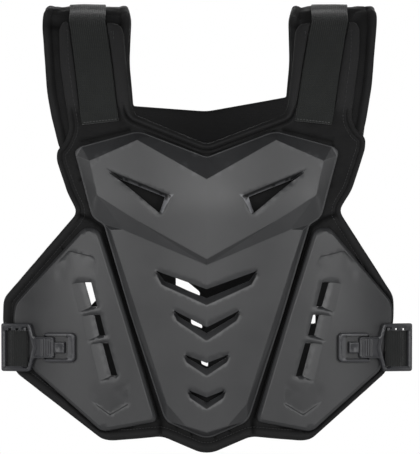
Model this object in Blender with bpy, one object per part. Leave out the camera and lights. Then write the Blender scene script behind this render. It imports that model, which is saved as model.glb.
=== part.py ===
"""Motorcycle armour vest: a foam front pad and back pad joined over the shoulders and at the sides,
with hard moulded shells on the front and the back.

Metres, +Z up. The front faces -Y, and +X is on the right of someone who looks at the front.
The origin is where the vest hangs on its wearer: the centre plane, halfway from front to back,
level with the underside of the shoulder wings.

Every piece lies on one curved form, the body form, whose h = 0 is the outer face of the front pad.
A place on it is (x, t, h): x across, t along the way from the front hem (negative) over the
shoulder (0) down to the back hem (positive), and h outward. Outlines are shares of named sizes.
"""

import math

import bpy
from mathutils import Vector
from mathutils.geometry import delaunay_2d_cdt

# Overall sizes
VEST_WIDTH = 0.452
VEST_HEIGHT = 0.4955
CHEST_DEPTH = 0.222
SIDE_ROOM = 0.024
SHOULDER_RISE = 0.130

# Walls and gaps
PAD_THICKNESS = 0.008
PAD_EDGE_THICKNESS = 0.005
PAD_EDGE_ROUND = 0.003
SHELL_THICKNESS = 0.0025
WEBBING_WIDTH = 0.040
WEBBING_THICKNESS = 0.002
STRAP_WIDTH = 0.038
STRAP_THICKNESS = 0.0018
CLEARANCE = 0.0003

# Relief of the pads
PIPING_INSET = 0.0045
PIPING_HALF_WIDTH = 0.0022
PIPING_HEIGHT = 0.0016
WELT_SPACING = 0.0062
FOLD_HALF_WIDTH = 0.003
FOLD_DEPTH = 0.003

# Relief of the shells
UPPER_LIFT = 0.0095
LOWER_LIFT = 0.0055
SIDE_LIFT = 0.0032
SIDE_BEVEL = 0.0055
BACK_LIFT = 0.006
CREST_HEIGHT = 0.0035
EYE_DEPTH = 0.0042
VENT_DEPTH = 0.0035
SCOOP_DEPTH = 0.0022
SLOT_RIM = 0.0022
PAD_SLOT_ROOM = 0.0046

# Buckles: lengths run along the body from the outer edge of the frame, widths run up and down
BUCKLE_LEVEL = 0.764
BUCKLE_REACH = 0.0068
FRAME_LENGTH = 0.0425
FRAME_WIDTH = 0.053
FRAME_POINT = 0.0075
FRAME_WALL = 0.0042
FRAME_THICKNESS = 0.0042
BAR_WIDTH = 0.0026
BAR_THICKNESS = 0.0015
TONGUE_LENGTH = 0.020
TONGUE_WIDTH = 0.0235
TONGUE_THICKNESS = 0.0030
TONGUE_RIBS = 5
RIB_PITCH = 0.0027
RIB_HEIGHT = 0.0008
MOUTH_GAP = 0.008
SOCKET_LENGTH = 0.037
SOCKET_FLOOR = 0.0020
RAIL_WIDTH = 0.0030
RAIL_HEIGHT = 0.0054
RAIL_SLOPE = 0.0008
SIDE_PLAY = 0.0006
END_WALL = 0.0095
BUTTON_LENGTH = 0.0115
BUTTON_WIDTH = 0.0125
BUTTON_HEIGHT = 0.0042
BUTTON_BEVEL = 0.0012
STRAP_TAIL = 0.013
STRAP_SEAM = 0.045

# The grid that all faceted pieces share
TURN_STEP = math.radians(9)
LEVELS_PER_RISE = 4
MERGE_DISTANCE = 0.0003
NUDGE = 1e-5
MITRE_LIMIT = 0.3
CREST_COLUMNS = 2

TORSO_HALF = VEST_WIDTH / 2 + SIDE_ROOM
COLUMNS = round(math.pi / 2 / TURN_STEP)
LEVEL_STEP = SHOULDER_RISE / LEVELS_PER_RISE
REST_HEIGHT = 2 * PAD_THICKNESS + CLEARANCE
BACK_FACE = -PAD_THICKNESS - CLEARANCE
TOP_HEIGHT = REST_HEIGHT + BACK_FACE + CLEARANCE + WEBBING_THICKNESS
SHELL_FACE = CLEARANCE + SIDE_LIFT + SHELL_THICKNESS
SOCKET_BASE = SHELL_FACE + CLEARANCE
FRAME_BASE = SOCKET_BASE + SOCKET_FLOOR + CLEARANCE
FRAME_SHOULDER = FRAME_LENGTH - FRAME_POINT
WINDOW_HALF = FRAME_WIDTH / 2 - FRAME_WALL
BAR_START = FRAME_SHOULDER - FRAME_WALL - BAR_WIDTH - STRAP_THICKNESS
BAR_END = BAR_START + BAR_WIDTH
TONGUE_HALF = TONGUE_WIDTH / 2
TONGUE_ROOT = FRAME_LENGTH - FRAME_POINT * TONGUE_WIDTH / FRAME_WIDTH
TONGUE_END = FRAME_LENGTH + TONGUE_LENGTH
SOCKET_MOUTH = FRAME_LENGTH + MOUTH_GAP
SOCKET_END = SOCKET_MOUTH + SOCKET_LENGTH
CHANNEL_HALF = TONGUE_HALF + SIDE_PLAY

# Depth of the body form: drop is a share of VEST_HEIGHT, front and back of half CHEST_DEPTH
#              drop  front  back
DEPTH_ROWS = ((0.26, 0.98, 1.02),
              (0.45, 1.06, 1.06),
              (0.70, 1.00, 0.99),
              (1.00, 0.90, 0.97))

# Outlines of half a piece, from the centre outward and down.
# across is a share of half VEST_WIDTH, down is a share of VEST_HEIGHT.
#             across  down
FRONT_PAD_TOP = ((0.000, 0.313), (0.366, 0.242), (0.398, 0.115), (0.405, 0.060),
                 (0.425, 0.046), (0.702, 0.042), (0.724, 0.056), (0.718, 0.130),
                 (0.688, 0.230), (0.672, 0.278), (0.700, 0.310), (0.736, 0.326),
                 (0.738, 0.348), (0.682, 0.424), (0.635, 0.465))
FRONT_PAD_HEM = ((0.515, 0.969), (0.470, 0.973), (0.330, 0.968), (0.218, 0.963), (0.030, 0.999))
NECKLINE = ((0.398, 0.115), (0.366, 0.242), (0.000, 0.313))
FOLD_LINE = ((0.560, 0.482), (0.511, 0.499), (0.383, 0.690), (0.224, 0.930), (0.226, 0.955))

CHEST_RIM = ((0.000, 0.342), (0.310, 0.287), (0.350, 0.286), (0.618, 0.319), (0.638, 0.337),
             (0.560, 0.470), (0.538, 0.482), (0.500, 0.492), (0.372, 0.690), (0.210, 0.918),
             (0.190, 0.931), (0.020, 0.965))
UPPER_FACE = ((0.000, 0.394), (0.329, 0.306), (0.558, 0.352), (0.521, 0.427), (0.324, 0.483),
              (0.000, 0.5675))
LOWER_FACE = ((0.000, 0.580), (0.400, 0.502), (0.462, 0.503), (0.383, 0.615), (0.190, 0.890),
              (0.100, 0.938), (0.000, 0.952))
EYE_MOUTH = ((0.485, 0.369), (0.166, 0.429), (0.212, 0.470))
EYE_HOLE = ((0.4168, 0.3935), (0.2028, 0.4318), (0.2240, 0.4630))

# Chevron vents, one row each: the ends are at end_across, between end_top and end_low.
# mid_top, mid_low and lip are on the centre line, lip being the foot of the bevel below the opening.
#         end_across end_top end_low  mid_top mid_low lip
VENTS = ((0.250, 0.5937, 0.6243, 0.6340, 0.6545, 0.6698),
         (0.166, 0.6815, 0.7042, 0.7183, 0.7322, 0.7490),
         (0.113, 0.7793, 0.7960, 0.7973, 0.8113, 0.8266),
         (0.094, 0.8583, 0.8750, 0.8737, 0.8865, 0.9005))
BACK_VENTS = ((0.262, 0.5900, 0.6310, 0.6310, 0.6600, 0.6760),
              (0.178, 0.6790, 0.7110, 0.7160, 0.7380, 0.7560),
              (0.124, 0.7770, 0.8040, 0.7955, 0.8180, 0.8360))
VENT_SLOPE_IN = 0.86
VENT_RIM = 0.0025

# Openings of the front pad behind the chest vents: the same columns, less the lip
PAD_VENTS = ((0.235, 0.5900, 0.6160, 0.6300, 0.6580),
             (0.150, 0.6800, 0.7000, 0.7130, 0.7350),
             (0.095, 0.7780, 0.7950, 0.7940, 0.8150))

SIDE_RIM_TOP = ((0.518, 0.509), (0.545, 0.499), (0.590, 0.499), (0.610, 0.505))
SIDE_RIM_HEM = ((0.845, 0.815), (0.520, 0.948), (0.490, 0.951), (0.250, 0.930),
                (0.243, 0.920), (0.393, 0.690))

# Outer tips of the front pad and the side shells. The left ones reach further out.
PAD_TIPS = {"left": ((0.993, 0.657), (0.995, 0.714), (0.940, 0.822)),
            "right": ((0.922, 0.650), (0.929, 0.690), (0.885, 0.820))}
SHELL_TIPS = {"left": ((0.932, 0.667), (0.943, 0.708)),
              "right": ((0.888, 0.662), (0.895, 0.690))}
# Slots of a side shell: two across values on top, two below, and where the scoop starts
#         outer  inner  down   outer  inner  down   scoop
SLOTS = ((0.5915, 0.5570, 0.620, 0.558, 0.5275, 0.674, 0.650),
         (0.5450, 0.5136, 0.692, 0.521, 0.4886, 0.738, 0.602),
         (0.5053, 0.4745, 0.755, 0.4635, 0.430, 0.8275, 0.560))

# The back pad starts as a wing on the front of the shoulder and runs over it to the back
WING_FRONT = ((0.390, 0.085), (0.400, 0.330), (0.700, 0.338), (0.738, 0.322), (0.772, 0.262),
              (0.802, 0.193), (0.811, 0.120))
WING_TOP_OUTER = 0.806
WING_TOP_INNER = 0.378
BACK_ARMHOLE = ((0.811, 0.104), (0.775, 0.249), (0.735, 0.340), (0.680, 0.422), (0.635, 0.465))
BACK_HEM = ((0.915, 0.650), (0.925, 0.680), (0.880, 0.815), (0.500, 0.945),
            (0.200, 0.940), (0.030, 0.972))
BACK_NECK = ((0.000, 0.2355), (0.371, 0.2225), (0.388, 0.120))
BACK_SHELL = ((0.000, 0.330), (0.300, 0.280), (0.360, 0.281), (0.590, 0.340), (0.600, 0.360),
              (0.510, 0.520), (0.220, 0.885), (0.020, 0.925))
BACK_SHELL_FACE = ((0.000, 0.380), (0.320, 0.312), (0.540, 0.362), (0.455, 0.515),
                   (0.180, 0.855), (0.000, 0.890))
WEBBING_TOP_ACROSS = 0.583
TONGUE_TOP = 0.042
WEBBING_END_ACROSS = 0.515
WEBBING_FRONT_END = 0.266
WEBBING_BACK_END = 0.200
WEBBING_RAMP = 0.030

# See-through cut-outs of the back pad, between upright ends.
# Across is signed: minus is on the left.
#               left     top     low     right    top     low
BACK_HOLES = ((-0.1560, 0.6008, 0.6350, -0.0350, 0.6450, 0.6550),
              (-0.0788, 0.6950, 0.7160, -0.0229, 0.7194, 0.7260),
              (-0.0277, 0.7904, 0.8060, 0.0063, 0.7970, 0.8126),
              (-0.6155, 0.6172, 0.6883, -0.5311, 0.6172, 0.6501),
              (0.5049, 0.6943, 0.7149, 0.5490, 0.6943, 0.7149))

# name: colour, roughness
MATERIALS = {
    "foam_fabric": ((0.018, 0.018, 0.019, 1.0), 0.92),
    "shell_plastic": ((0.055, 0.056, 0.059, 1.0), 0.52),
    "webbing_fabric": ((0.026, 0.028, 0.027, 1.0), 0.85),
    "strap_elastic": ((0.030, 0.032, 0.031, 1.0), 0.88),
    "buckle_plastic": ((0.050, 0.051, 0.056, 1.0), 0.38),
}


def blend_rows(rows, share, column):
    """Read one column of a table at a share, along straight lines between its rows."""
    if share <= rows[0][0]:
        return rows[0][column]
    for low, high in zip(rows, rows[1:]):
        if share <= high[0]:
            f = (share - low[0]) / (high[0] - low[0])
            return low[column] + f * (high[column] - low[column])
    return rows[-1][column]


def drop_at(t):
    """Height lost from the top of the shoulder after a way t along the body."""
    way = abs(t)
    if way >= SHOULDER_RISE:
        return way
    return SHOULDER_RISE * (1 - math.cos(math.pi / 2 * way / SHOULDER_RISE))


def way_of_drop(drop):
    """The inverse of drop_at, as a positive way."""
    if drop >= SHOULDER_RISE:
        return drop
    return SHOULDER_RISE * 2 / math.pi * math.acos(1 - drop / SHOULDER_RISE)


def depth_at(t):
    """Distance of the body form from the middle plane between front and back, at x = 0."""
    column = 1 if t < 0 else 2
    way = max(abs(t), SHOULDER_RISE)
    depth = CHEST_DEPTH / 2 * blend_rows(DEPTH_ROWS, way / VEST_HEIGHT, column)
    if abs(t) < SHOULDER_RISE:
        depth *= math.sin(math.pi / 2 * abs(t) / SHOULDER_RISE)
    return depth


def body_form(turn, t):
    """The smooth body form: turn is the angle round the torso from its front or back centre."""
    y = math.copysign(depth_at(t) * math.cos(turn), t)
    return Vector((TORSO_HALF * math.sin(turn), y, REST_HEIGHT - drop_at(t)))


form_nodes = {}


def form_node(i, j):
    """Place and outward normal of the body form at a crossing of the shared grid."""
    if (i, j) not in form_nodes:
        turn, t = i * TURN_STEP, j * LEVEL_STEP
        across = body_form(turn + NUDGE, t) - body_form(turn - NUDGE, t)
        along = body_form(turn, t + NUDGE) - body_form(turn, t - NUDGE)
        form_nodes[i, j] = (body_form(turn, t), across.cross(along).normalized())
    return form_nodes[i, j]


def column_x(i):
    return TORSO_HALF * math.sin(i * TURN_STEP)


def place(x, t, h):
    """A point of the faceted body form, h outward from it."""
    reach = min(abs(x), TORSO_HALF)
    i = min(int(math.asin(reach / TORSO_HALF) / TURN_STEP + NUDGE), COLUMNS - 1)
    f = (reach - column_x(i)) / (column_x(i + 1) - column_x(i))
    j = math.floor(t / LEVEL_STEP + NUDGE)
    g = t / LEVEL_STEP - j
    if f + g <= 1:
        corners = (((i, j), 1 - f - g), ((i + 1, j), f), ((i, j + 1), g))
    else:
        corners = (((i + 1, j + 1), f + g - 1), ((i, j + 1), 1 - f), ((i + 1, j), 1 - g))
    point = Vector((0, 0, 0))
    for key, weight in corners:
        spot, normal = form_node(*key)
        point += weight * (spot + h * normal)
    return Vector((math.copysign(point.x, x) if reach > NUDGE else 0.0, point.y, point.z))


def on_front(across, down):
    """Chart point (x, t) on the front from shares of the vest's half width and height."""
    drop = REST_HEIGHT - TOP_HEIGHT + down * VEST_HEIGHT
    return across * VEST_WIDTH / 2, -way_of_drop(drop)


def on_back(across, down):
    x, t = on_front(across, down)
    return x, -t


def whole_loop(half):
    """Close a half outline, which runs from the centre line outward and back to it."""
    mirrored = [(-x, t) for x, t in reversed(half) if abs(x) > NUDGE]
    return list(half) + mirrored


def flipped(points, side):
    return [(side * x, t) for x, t in points]


def distance_to(point, line, closed):
    """Shortest distance from a chart point to a line of points."""
    best = math.inf
    ends = zip(line, line[1:] + line[:1] if closed else line[1:])
    for a, b in ends:
        run = (b[0] - a[0], b[1] - a[1])
        length = run[0] ** 2 + run[1] ** 2
        share = ((point[0] - a[0]) * run[0] + (point[1] - a[1]) * run[1]) / length
        share = min(max(share, 0), 1)
        gap = math.hypot(point[0] - a[0] - share * run[0], point[1] - a[1] - share * run[1])
        best = min(best, gap)
    return best


def inside(point, loop):
    """True where a chart point lies within a closed loop."""
    hit = False
    for a, b in zip(loop, loop[1:] + loop[:1]):
        if (a[1] > point[1]) != (b[1] > point[1]):
            if point[0] < a[0] + (point[1] - a[1]) * (b[0] - a[0]) / (b[1] - a[1]):
                hit = not hit
    return hit


def shifted(line, distance, closed=False):
    """The line moved to its left by a distance, with mitred corners."""
    moved = []
    count = len(line)
    for k, point in enumerate(line):
        before = line[k - 1] if closed or k else None
        after = line[(k + 1) % count] if closed or k < count - 1 else None
        normals = []
        for a, b in ((before, point), (point, after)):
            if a is not None and b is not None:
                length = math.hypot(b[0] - a[0], b[1] - a[1])
                normals.append(((a[1] - b[1]) / length, (b[0] - a[0]) / length))
        nx = sum(n[0] for n in normals) / len(normals)
        ny = sum(n[1] for n in normals) / len(normals)
        stretch = max(nx * nx + ny * ny, MITRE_LIMIT)
        moved.append((point[0] + distance * nx / stretch, point[1] + distance * ny / stretch))
    return moved


def is_left_turning(loop):
    return sum(a[0] * b[1] - b[0] * a[1] for a, b in zip(loop, loop[1:] + loop[:1])) > 0


def inset(loop, distance):
    """A closed loop moved inward."""
    return shifted(loop, distance if is_left_turning(loop) else -distance, closed=True)


class Bead:
    """A raised or sunk line: full height on the line, none at half_width beside it."""

    def __init__(self, line, half_width, height, closed=False):
        self.line, self.half_width, self.height, self.closed = line, half_width, height, closed

    def creases(self):
        sides = [shifted(self.line, d, self.closed) for d in (self.half_width, -self.half_width)]
        lines = [self.line] + sides
        return [line + line[:1] for line in lines] if self.closed else lines

    def rise(self, point):
        gap = distance_to(point, self.line, self.closed)
        return self.height * max(0.0, 1 - gap / self.half_width)


class Dip:
    """A sunk place: none on its mouth, full depth on the line or loop of its foot."""

    def __init__(self, mouth, foot, depth, foot_closed=True):
        self.mouth, self.foot, self.depth, self.foot_closed = mouth, foot, depth, foot_closed

    def creases(self):
        foot = self.foot + self.foot[:1] if self.foot_closed else self.foot
        return [self.mouth + self.mouth[:1], foot]

    def rise(self, point):
        to_foot = distance_to(point, self.foot, self.foot_closed)
        to_mouth = distance_to(point, self.mouth, True)
        if not inside(point, self.mouth) or to_foot + to_mouth == 0:
            return 0.0
        return -self.depth * to_mouth / (to_foot + to_mouth)


def grid_over(outline):
    """Points and edges of the shared grid over an outline's box."""
    xs = [p[0] for p in outline]
    ts = [p[1] for p in outline]
    columns = {i: math.copysign(column_x(abs(i)), i) for i in range(-COLUMNS, COLUMNS + 1)}
    first = max([i for i, x in columns.items() if x <= min(xs)])
    last = min([i for i, x in columns.items() if x >= max(xs)])
    rows = range(math.floor(min(ts) / LEVEL_STEP), math.ceil(max(ts) / LEVEL_STEP) + 1)
    points, index, edges = [], {}, []
    for i in range(first, last + 1):
        for j in rows:
            index[i, j] = len(points)
            points.append((columns[i], j * LEVEL_STEP))
    for (i, j), here in index.items():
        diagonals = [(i + 1, j)] if i > 0 else [(i - 1, j)] if i < 0 else [(-1, j), (1, j)]
        for other in ((i + 1, j), (i, j + 1)):
            if other in index:
                edges.append((here, index[other]))
        for other in diagonals:
            if other in index and (i, j + 1) in index:
                edges.append((index[i, j + 1], index[other]))
    return points, edges


def flat_triangles(outline, holes, creases):
    """Triangles of an outline less its holes, with an edge along every crease and grid line."""
    points, edges = grid_over(outline)
    for line in [outline + outline[:1]] + [h + h[:1] for h in holes] + creases:
        start = len(points)
        points += line
        edges += [(start + k, start + k + 1) for k in range(len(line) - 1)]
    flat = [Vector(p) for p in points]
    spots, _, faces = delaunay_2d_cdt(flat, edges, [], 0, MERGE_DISTANCE)[:3]
    kept = []
    for a, b, c in faces:
        centre = (spots[a] + spots[b] + spots[c]) / 3
        if inside(centre, outline) and not any(inside(centre, hole) for hole in holes):
            left = (spots[b] - spots[a]).cross(spots[c] - spots[a]) > 0
            kept.append((a, b, c) if left else (a, c, b))
    used = sorted({k for face in kept for k in face})
    rename = {old: new for new, old in enumerate(used)}
    faces = [tuple(rename[k] for k in face) for face in kept]
    return [tuple(spots[k]) for k in used], faces


def make_object(name, points, faces, material):
    """A mesh object whose faces point outward."""
    volume = sum(points[a].dot(points[b].cross(points[c])) for a, b, c in faces)
    if volume < 0:
        faces = [face[::-1] for face in faces]
    mesh = bpy.data.meshes.new(name)
    mesh.from_pydata(points, [], faces)
    mesh.materials.append(bpy.data.materials[material])
    piece = bpy.data.objects.new(name, mesh)
    bpy.context.scene.collection.objects.link(piece)
    return piece


def lay_sheet(name, outline, low, high, material, holes=(), reliefs=(), creases=()):
    """A closed solid on the body form between two heights, which are functions of (x, t)."""
    lines = list(creases)
    for relief in reliefs:
        lines += relief.creases()
    spots, faces = flat_triangles(list(outline), [list(h) for h in holes], lines)
    count = len(spots)
    points = [place(x, t, low((x, t))) for x, t in spots]
    points += [place(x, t, high((x, t))) for x, t in spots]
    sides = {}
    for a, b, c in faces:
        for edge in ((a, b), (b, c), (c, a)):
            sides[edge] = True
    rim = [(a, b) for a, b in sides if (b, a) not in sides]
    solid = [(a + count, b + count, c + count) for a, b, c in faces]
    solid += [(c, b, a) for a, b, c in faces]
    for a, b in rim:
        solid += [(a, b, b + count), (a, b + count, a + count)]
    return make_object(name, points, solid, material)


def rise_of(reliefs):
    return lambda point: sum(relief.rise(point) for relief in reliefs)


def pad_height(outline, face, reliefs):
    """Outer height of a pad: its edge is thinner, and rises over the round of the border."""
    rise = rise_of(reliefs)
    fall = PAD_THICKNESS - PAD_EDGE_THICKNESS

    def height(point):
        gap = distance_to(point, outline, True)
        return face - fall * max(0.0, 1 - gap / PAD_EDGE_ROUND) + rise(point)
    return height


def region_lift(regions):
    """Lift that is each region's own within it, and slopes between the two nearest outside."""
    def lift(point):
        gaps = []
        for loop, filled, value in regions:
            gap = distance_to(point, loop, True)
            if gap < NUDGE or (filled and inside(point, loop)):
                return value
            gaps.append((gap, value))
        (near_gap, near), (far_gap, far) = sorted(gaps)[:2]
        return (near * far_gap + far * near_gap) / (near_gap + far_gap)
    return lift


def chevron(end, end_top, end_low, mid_top, foot, on_side=on_front):
    """A chevron-shaped loop from the columns of VENTS."""
    return whole_loop([on_side(0, mid_top), on_side(end, end_top),
                       on_side(end * VENT_SLOPE_IN, end_low), on_side(0, foot)])


def vent_dip(row, depth, on_side):
    """A chevron vent: its mouth, and its opening just inside it, above the bevel of its lip."""
    end, end_top, end_low, mid_top, mid_low, lip = row
    mouth = chevron(end, end_top, end_low, mid_top, lip, on_side)
    bevel = (lip - mid_low) / 2
    hole = chevron(end - VENT_RIM, end_top + VENT_RIM, end_low - bevel, mid_top + VENT_RIM,
                   mid_low, on_side)
    return Dip(mouth, hole, depth)


def slot_hole(row, room=0.0):
    """A slot's opening, with room added on its outer side."""
    outer, inner, top, outer_low, inner_low, low = row[:6]
    loop = [on_front(outer, top), on_front(inner, top), on_front(inner_low, low),
            on_front(outer_low, low)]
    return [(x + room * (k in (0, 3)), t) for k, (x, t) in enumerate(loop)]


def wing_loop(top, tips, hem):
    """A whole outline whose left and right wing tips differ."""
    right = [on_front(*row) for row in top + tips["right"] + hem]
    left = [on_front(-across, down) for across, down in top + tips["left"] + hem]
    return right + [point for point in reversed(left) if abs(point[0]) > NUDGE]


def make_front_pad():
    outline = wing_loop(FRONT_PAD_TOP, PAD_TIPS, FRONT_PAD_HEM)
    piping = Bead(inset(outline, PIPING_INSET), PIPING_HALF_WIDTH, PIPING_HEIGHT, closed=True)
    neck = [on_front(*row) for row in NECKLINE]
    neck += [(-x, t) for x, t in reversed(neck[:-1])]
    welt = shifted(neck, PIPING_INSET + WELT_SPACING)
    if welt[2][1] > neck[2][1]:
        welt = shifted(neck, -PIPING_INSET - WELT_SPACING)
    reliefs = [piping, Bead(welt, PIPING_HALF_WIDTH, PIPING_HEIGHT)]
    for side in (-1, 1):
        fold = flipped([on_front(*row) for row in FOLD_LINE], side)
        reliefs.append(Bead(fold, FOLD_HALF_WIDTH, -FOLD_DEPTH))
    holes = [chevron(*row) for row in PAD_VENTS]
    for side in (-1, 1):
        holes += [flipped(slot_hole(row, PAD_SLOT_ROOM), side) for row in SLOTS]
    edge = inset(outline, PAD_EDGE_ROUND)
    lay_sheet("front_pad", outline, lambda point: -PAD_THICKNESS,
              pad_height(outline, 0.0, reliefs), "foam_fabric",
              holes=holes, reliefs=reliefs, creases=[edge + edge[:1]])


def make_back_pad():
    top_outer = WING_TOP_OUTER * VEST_WIDTH / 2
    top_inner = WING_TOP_INNER * VEST_WIDTH / 2
    half = [on_back(*row) for row in BACK_NECK]
    half += [(top_inner, 0.0)]
    half += [on_front(*row) for row in WING_FRONT]
    half += [(top_outer, 0.0)]
    half += [on_back(*row) for row in BACK_ARMHOLE + BACK_HEM]
    outline = whole_loop(half)
    holes = back_holes()
    edge = inset(outline, PAD_EDGE_ROUND)
    lay_sheet("back_pad", outline, lambda point: BACK_FACE - PAD_THICKNESS,
              pad_height(outline, BACK_FACE, []), "foam_fabric",
              holes=holes, creases=[edge + edge[:1]])


def back_holes():
    loops = []
    for left, left_top, left_low, right, right_top, right_low in BACK_HOLES:
        loops.append([on_back(left, left_top), on_back(right, right_top),
                      on_back(right, right_low), on_back(left, left_low)])
    return loops


def make_chest_shell():
    outline = whole_loop([on_front(*row) for row in CHEST_RIM])
    upper = whole_loop([on_front(*row) for row in UPPER_FACE])
    lower = whole_loop([on_front(*row) for row in LOWER_FACE])
    dips = [vent_dip(row, VENT_DEPTH, on_front) for row in VENTS]
    for side in (-1, 1):
        mouth = flipped([on_front(*row) for row in EYE_MOUTH], side)
        hole = flipped([on_front(*row) for row in EYE_HOLE], side)
        dips.append(Dip(mouth, hole, EYE_DEPTH))
    lift = region_lift(((outline, False, 0.0), (upper, True, UPPER_LIFT),
                        (lower, True, LOWER_LIFT)))
    rise = rise_of(dips)
    crest_half = column_x(CREST_COLUMNS)

    def low(point):
        crest = CREST_HEIGHT * max(0.0, 1 - abs(point[0]) / crest_half)
        rim_gap = min(1.0, distance_to(point, outline, True) / UPPER_LIFT)
        return CLEARANCE + lift(point) + crest * rim_gap + rise(point)

    lay_sheet("chest_shell", outline, low, lambda point: low(point) + SHELL_THICKNESS,
              "shell_plastic", holes=[dip.foot for dip in dips], reliefs=dips,
              creases=[upper + upper[:1], lower + lower[:1]])


def make_side_shell(side):
    word = "right" if side > 0 else "left"
    rows = SIDE_RIM_TOP + SHELL_TIPS[word] + SIDE_RIM_HEM
    outline = flipped([on_front(*row) for row in rows], side)
    face = inset(outline, SIDE_BEVEL)
    dips = []
    for row in SLOTS:
        hole = slot_hole(row)
        scoop = on_front(row[6], row[2])[0]
        rim = SLOT_RIM
        mouth = [(scoop, hole[0][1] + rim), (hole[1][0] - rim, hole[1][1] + rim),
                 (hole[2][0] - rim, hole[2][1] - rim),
                 (scoop + hole[3][0] - hole[0][0], hole[3][1] - rim)]
        dips.append(Dip(flipped(mouth, side), flipped(hole, side), SCOOP_DEPTH))
    lift = region_lift(((outline, False, 0.0), (face, True, SIDE_LIFT)))
    rise = rise_of(dips)

    def low(point):
        return CLEARANCE + lift(point) + rise(point)

    lay_sheet(f"side_shell_{word}", outline, low, lambda point: low(point) + SHELL_THICKNESS,
              "shell_plastic", holes=[dip.foot for dip in dips], reliefs=dips,
              creases=[face + face[:1]])


def make_back_shell():
    outline = whole_loop([on_back(*row) for row in BACK_SHELL])
    face = whole_loop([on_back(*row) for row in BACK_SHELL_FACE])
    lift = region_lift(((outline, False, 0.0), (face, True, BACK_LIFT)))
    dips = [vent_dip(row, VENT_DEPTH, on_back) for row in BACK_VENTS]
    rise = rise_of(dips)

    def low(point):
        return BACK_FACE + CLEARANCE + lift(point) + rise(point)

    lay_sheet("back_shell", outline, low, lambda point: low(point) + SHELL_THICKNESS,
              "shell_plastic", holes=[dip.foot for dip in dips], reliefs=dips,
              creases=[face + face[:1]])


def make_shoulder_webbing(side):
    half = WEBBING_WIDTH / 2
    end = on_front(WEBBING_END_ACROSS, WEBBING_FRONT_END)
    bend = on_front(WEBBING_TOP_ACROSS, TONGUE_TOP)
    seam = on_back(WEBBING_TOP_ACROSS, WEBBING_BACK_END)
    ramp = (bend[0], bend[1] + WEBBING_RAMP)
    stops = (end, bend, ramp, seam)
    outline = [(x + half, t) for x, t in stops] + [(x - half, t) for x, t in reversed(stops)]
    creases = [[(x - half, t), (x + half, t)] for x, t in (bend, ramp)]
    tongue_level = PIPING_HEIGHT + CLEARANCE
    wing_level = BACK_FACE + CLEARANCE

    def low(point):
        share = min(max((point[1] - bend[1]) / WEBBING_RAMP, 0.0), 1.0)
        return tongue_level + share * (wing_level - tongue_level)

    name = "shoulder_webbing_right" if side > 0 else "shoulder_webbing_left"
    lay_sheet(name, flipped(outline, side), low,
              lambda point: low(point) + WEBBING_THICKNESS, "webbing_fabric",
              creases=[flipped(line, side) for line in creases])


class BuckleChart:
    """Way round the body at the buckle's level, from the front centre to the back centre."""

    def __init__(self):
        level = on_front(0, BUCKLE_LEVEL)[1]
        self.level = level
        self.stops = [0.0]
        spots = [place(column_x(i), level, 0) for i in range(COLUMNS + 1)]
        spots += [place(column_x(i), -level, 0) for i in range(COLUMNS - 1, -1, -1)]
        for a, b in zip(spots, spots[1:]):
            self.stops.append(self.stops[-1] + (b - a).length)
        self.outer = self.way_of(VEST_WIDTH / 2 - BUCKLE_REACH)

    def way_of(self, x, back=False):
        i = min(int(math.asin(x / TORSO_HALF) / TURN_STEP + NUDGE), COLUMNS - 1)
        f = (x - column_x(i)) / (column_x(i + 1) - column_x(i))
        if back:
            k = 2 * COLUMNS - i
            return self.stops[k] - f * (self.stops[k] - self.stops[k - 1])
        return self.stops[i] + f * (self.stops[i + 1] - self.stops[i])

    def chart_x(self, way):
        """x of a way, and whether it lies on the back."""
        k = 0
        while k < 2 * COLUMNS - 1 and self.stops[k + 1] < way:
            k += 1
        f = (way - self.stops[k]) / (self.stops[k + 1] - self.stops[k])
        if k < COLUMNS:
            return column_x(k) + f * (column_x(k + 1) - column_x(k)), False
        i = 2 * COLUMNS - k
        return column_x(i) + f * (column_x(i - 1) - column_x(i)), True

    def local(self, length, width, side):
        """Chart point from a length inward from the frame's outer edge and a width upward."""
        return side * self.chart_x(self.outer - length)[0], self.level + width

    def loop(self, points, side):
        return [self.local(length, width, side) for length, width in points]


def both_ways(half):
    """Close a buckle outline that is given for widths above its middle line."""
    lower = [(length, -width) for length, width in reversed(half) if width > NUDGE]
    return list(half) + lower


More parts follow.
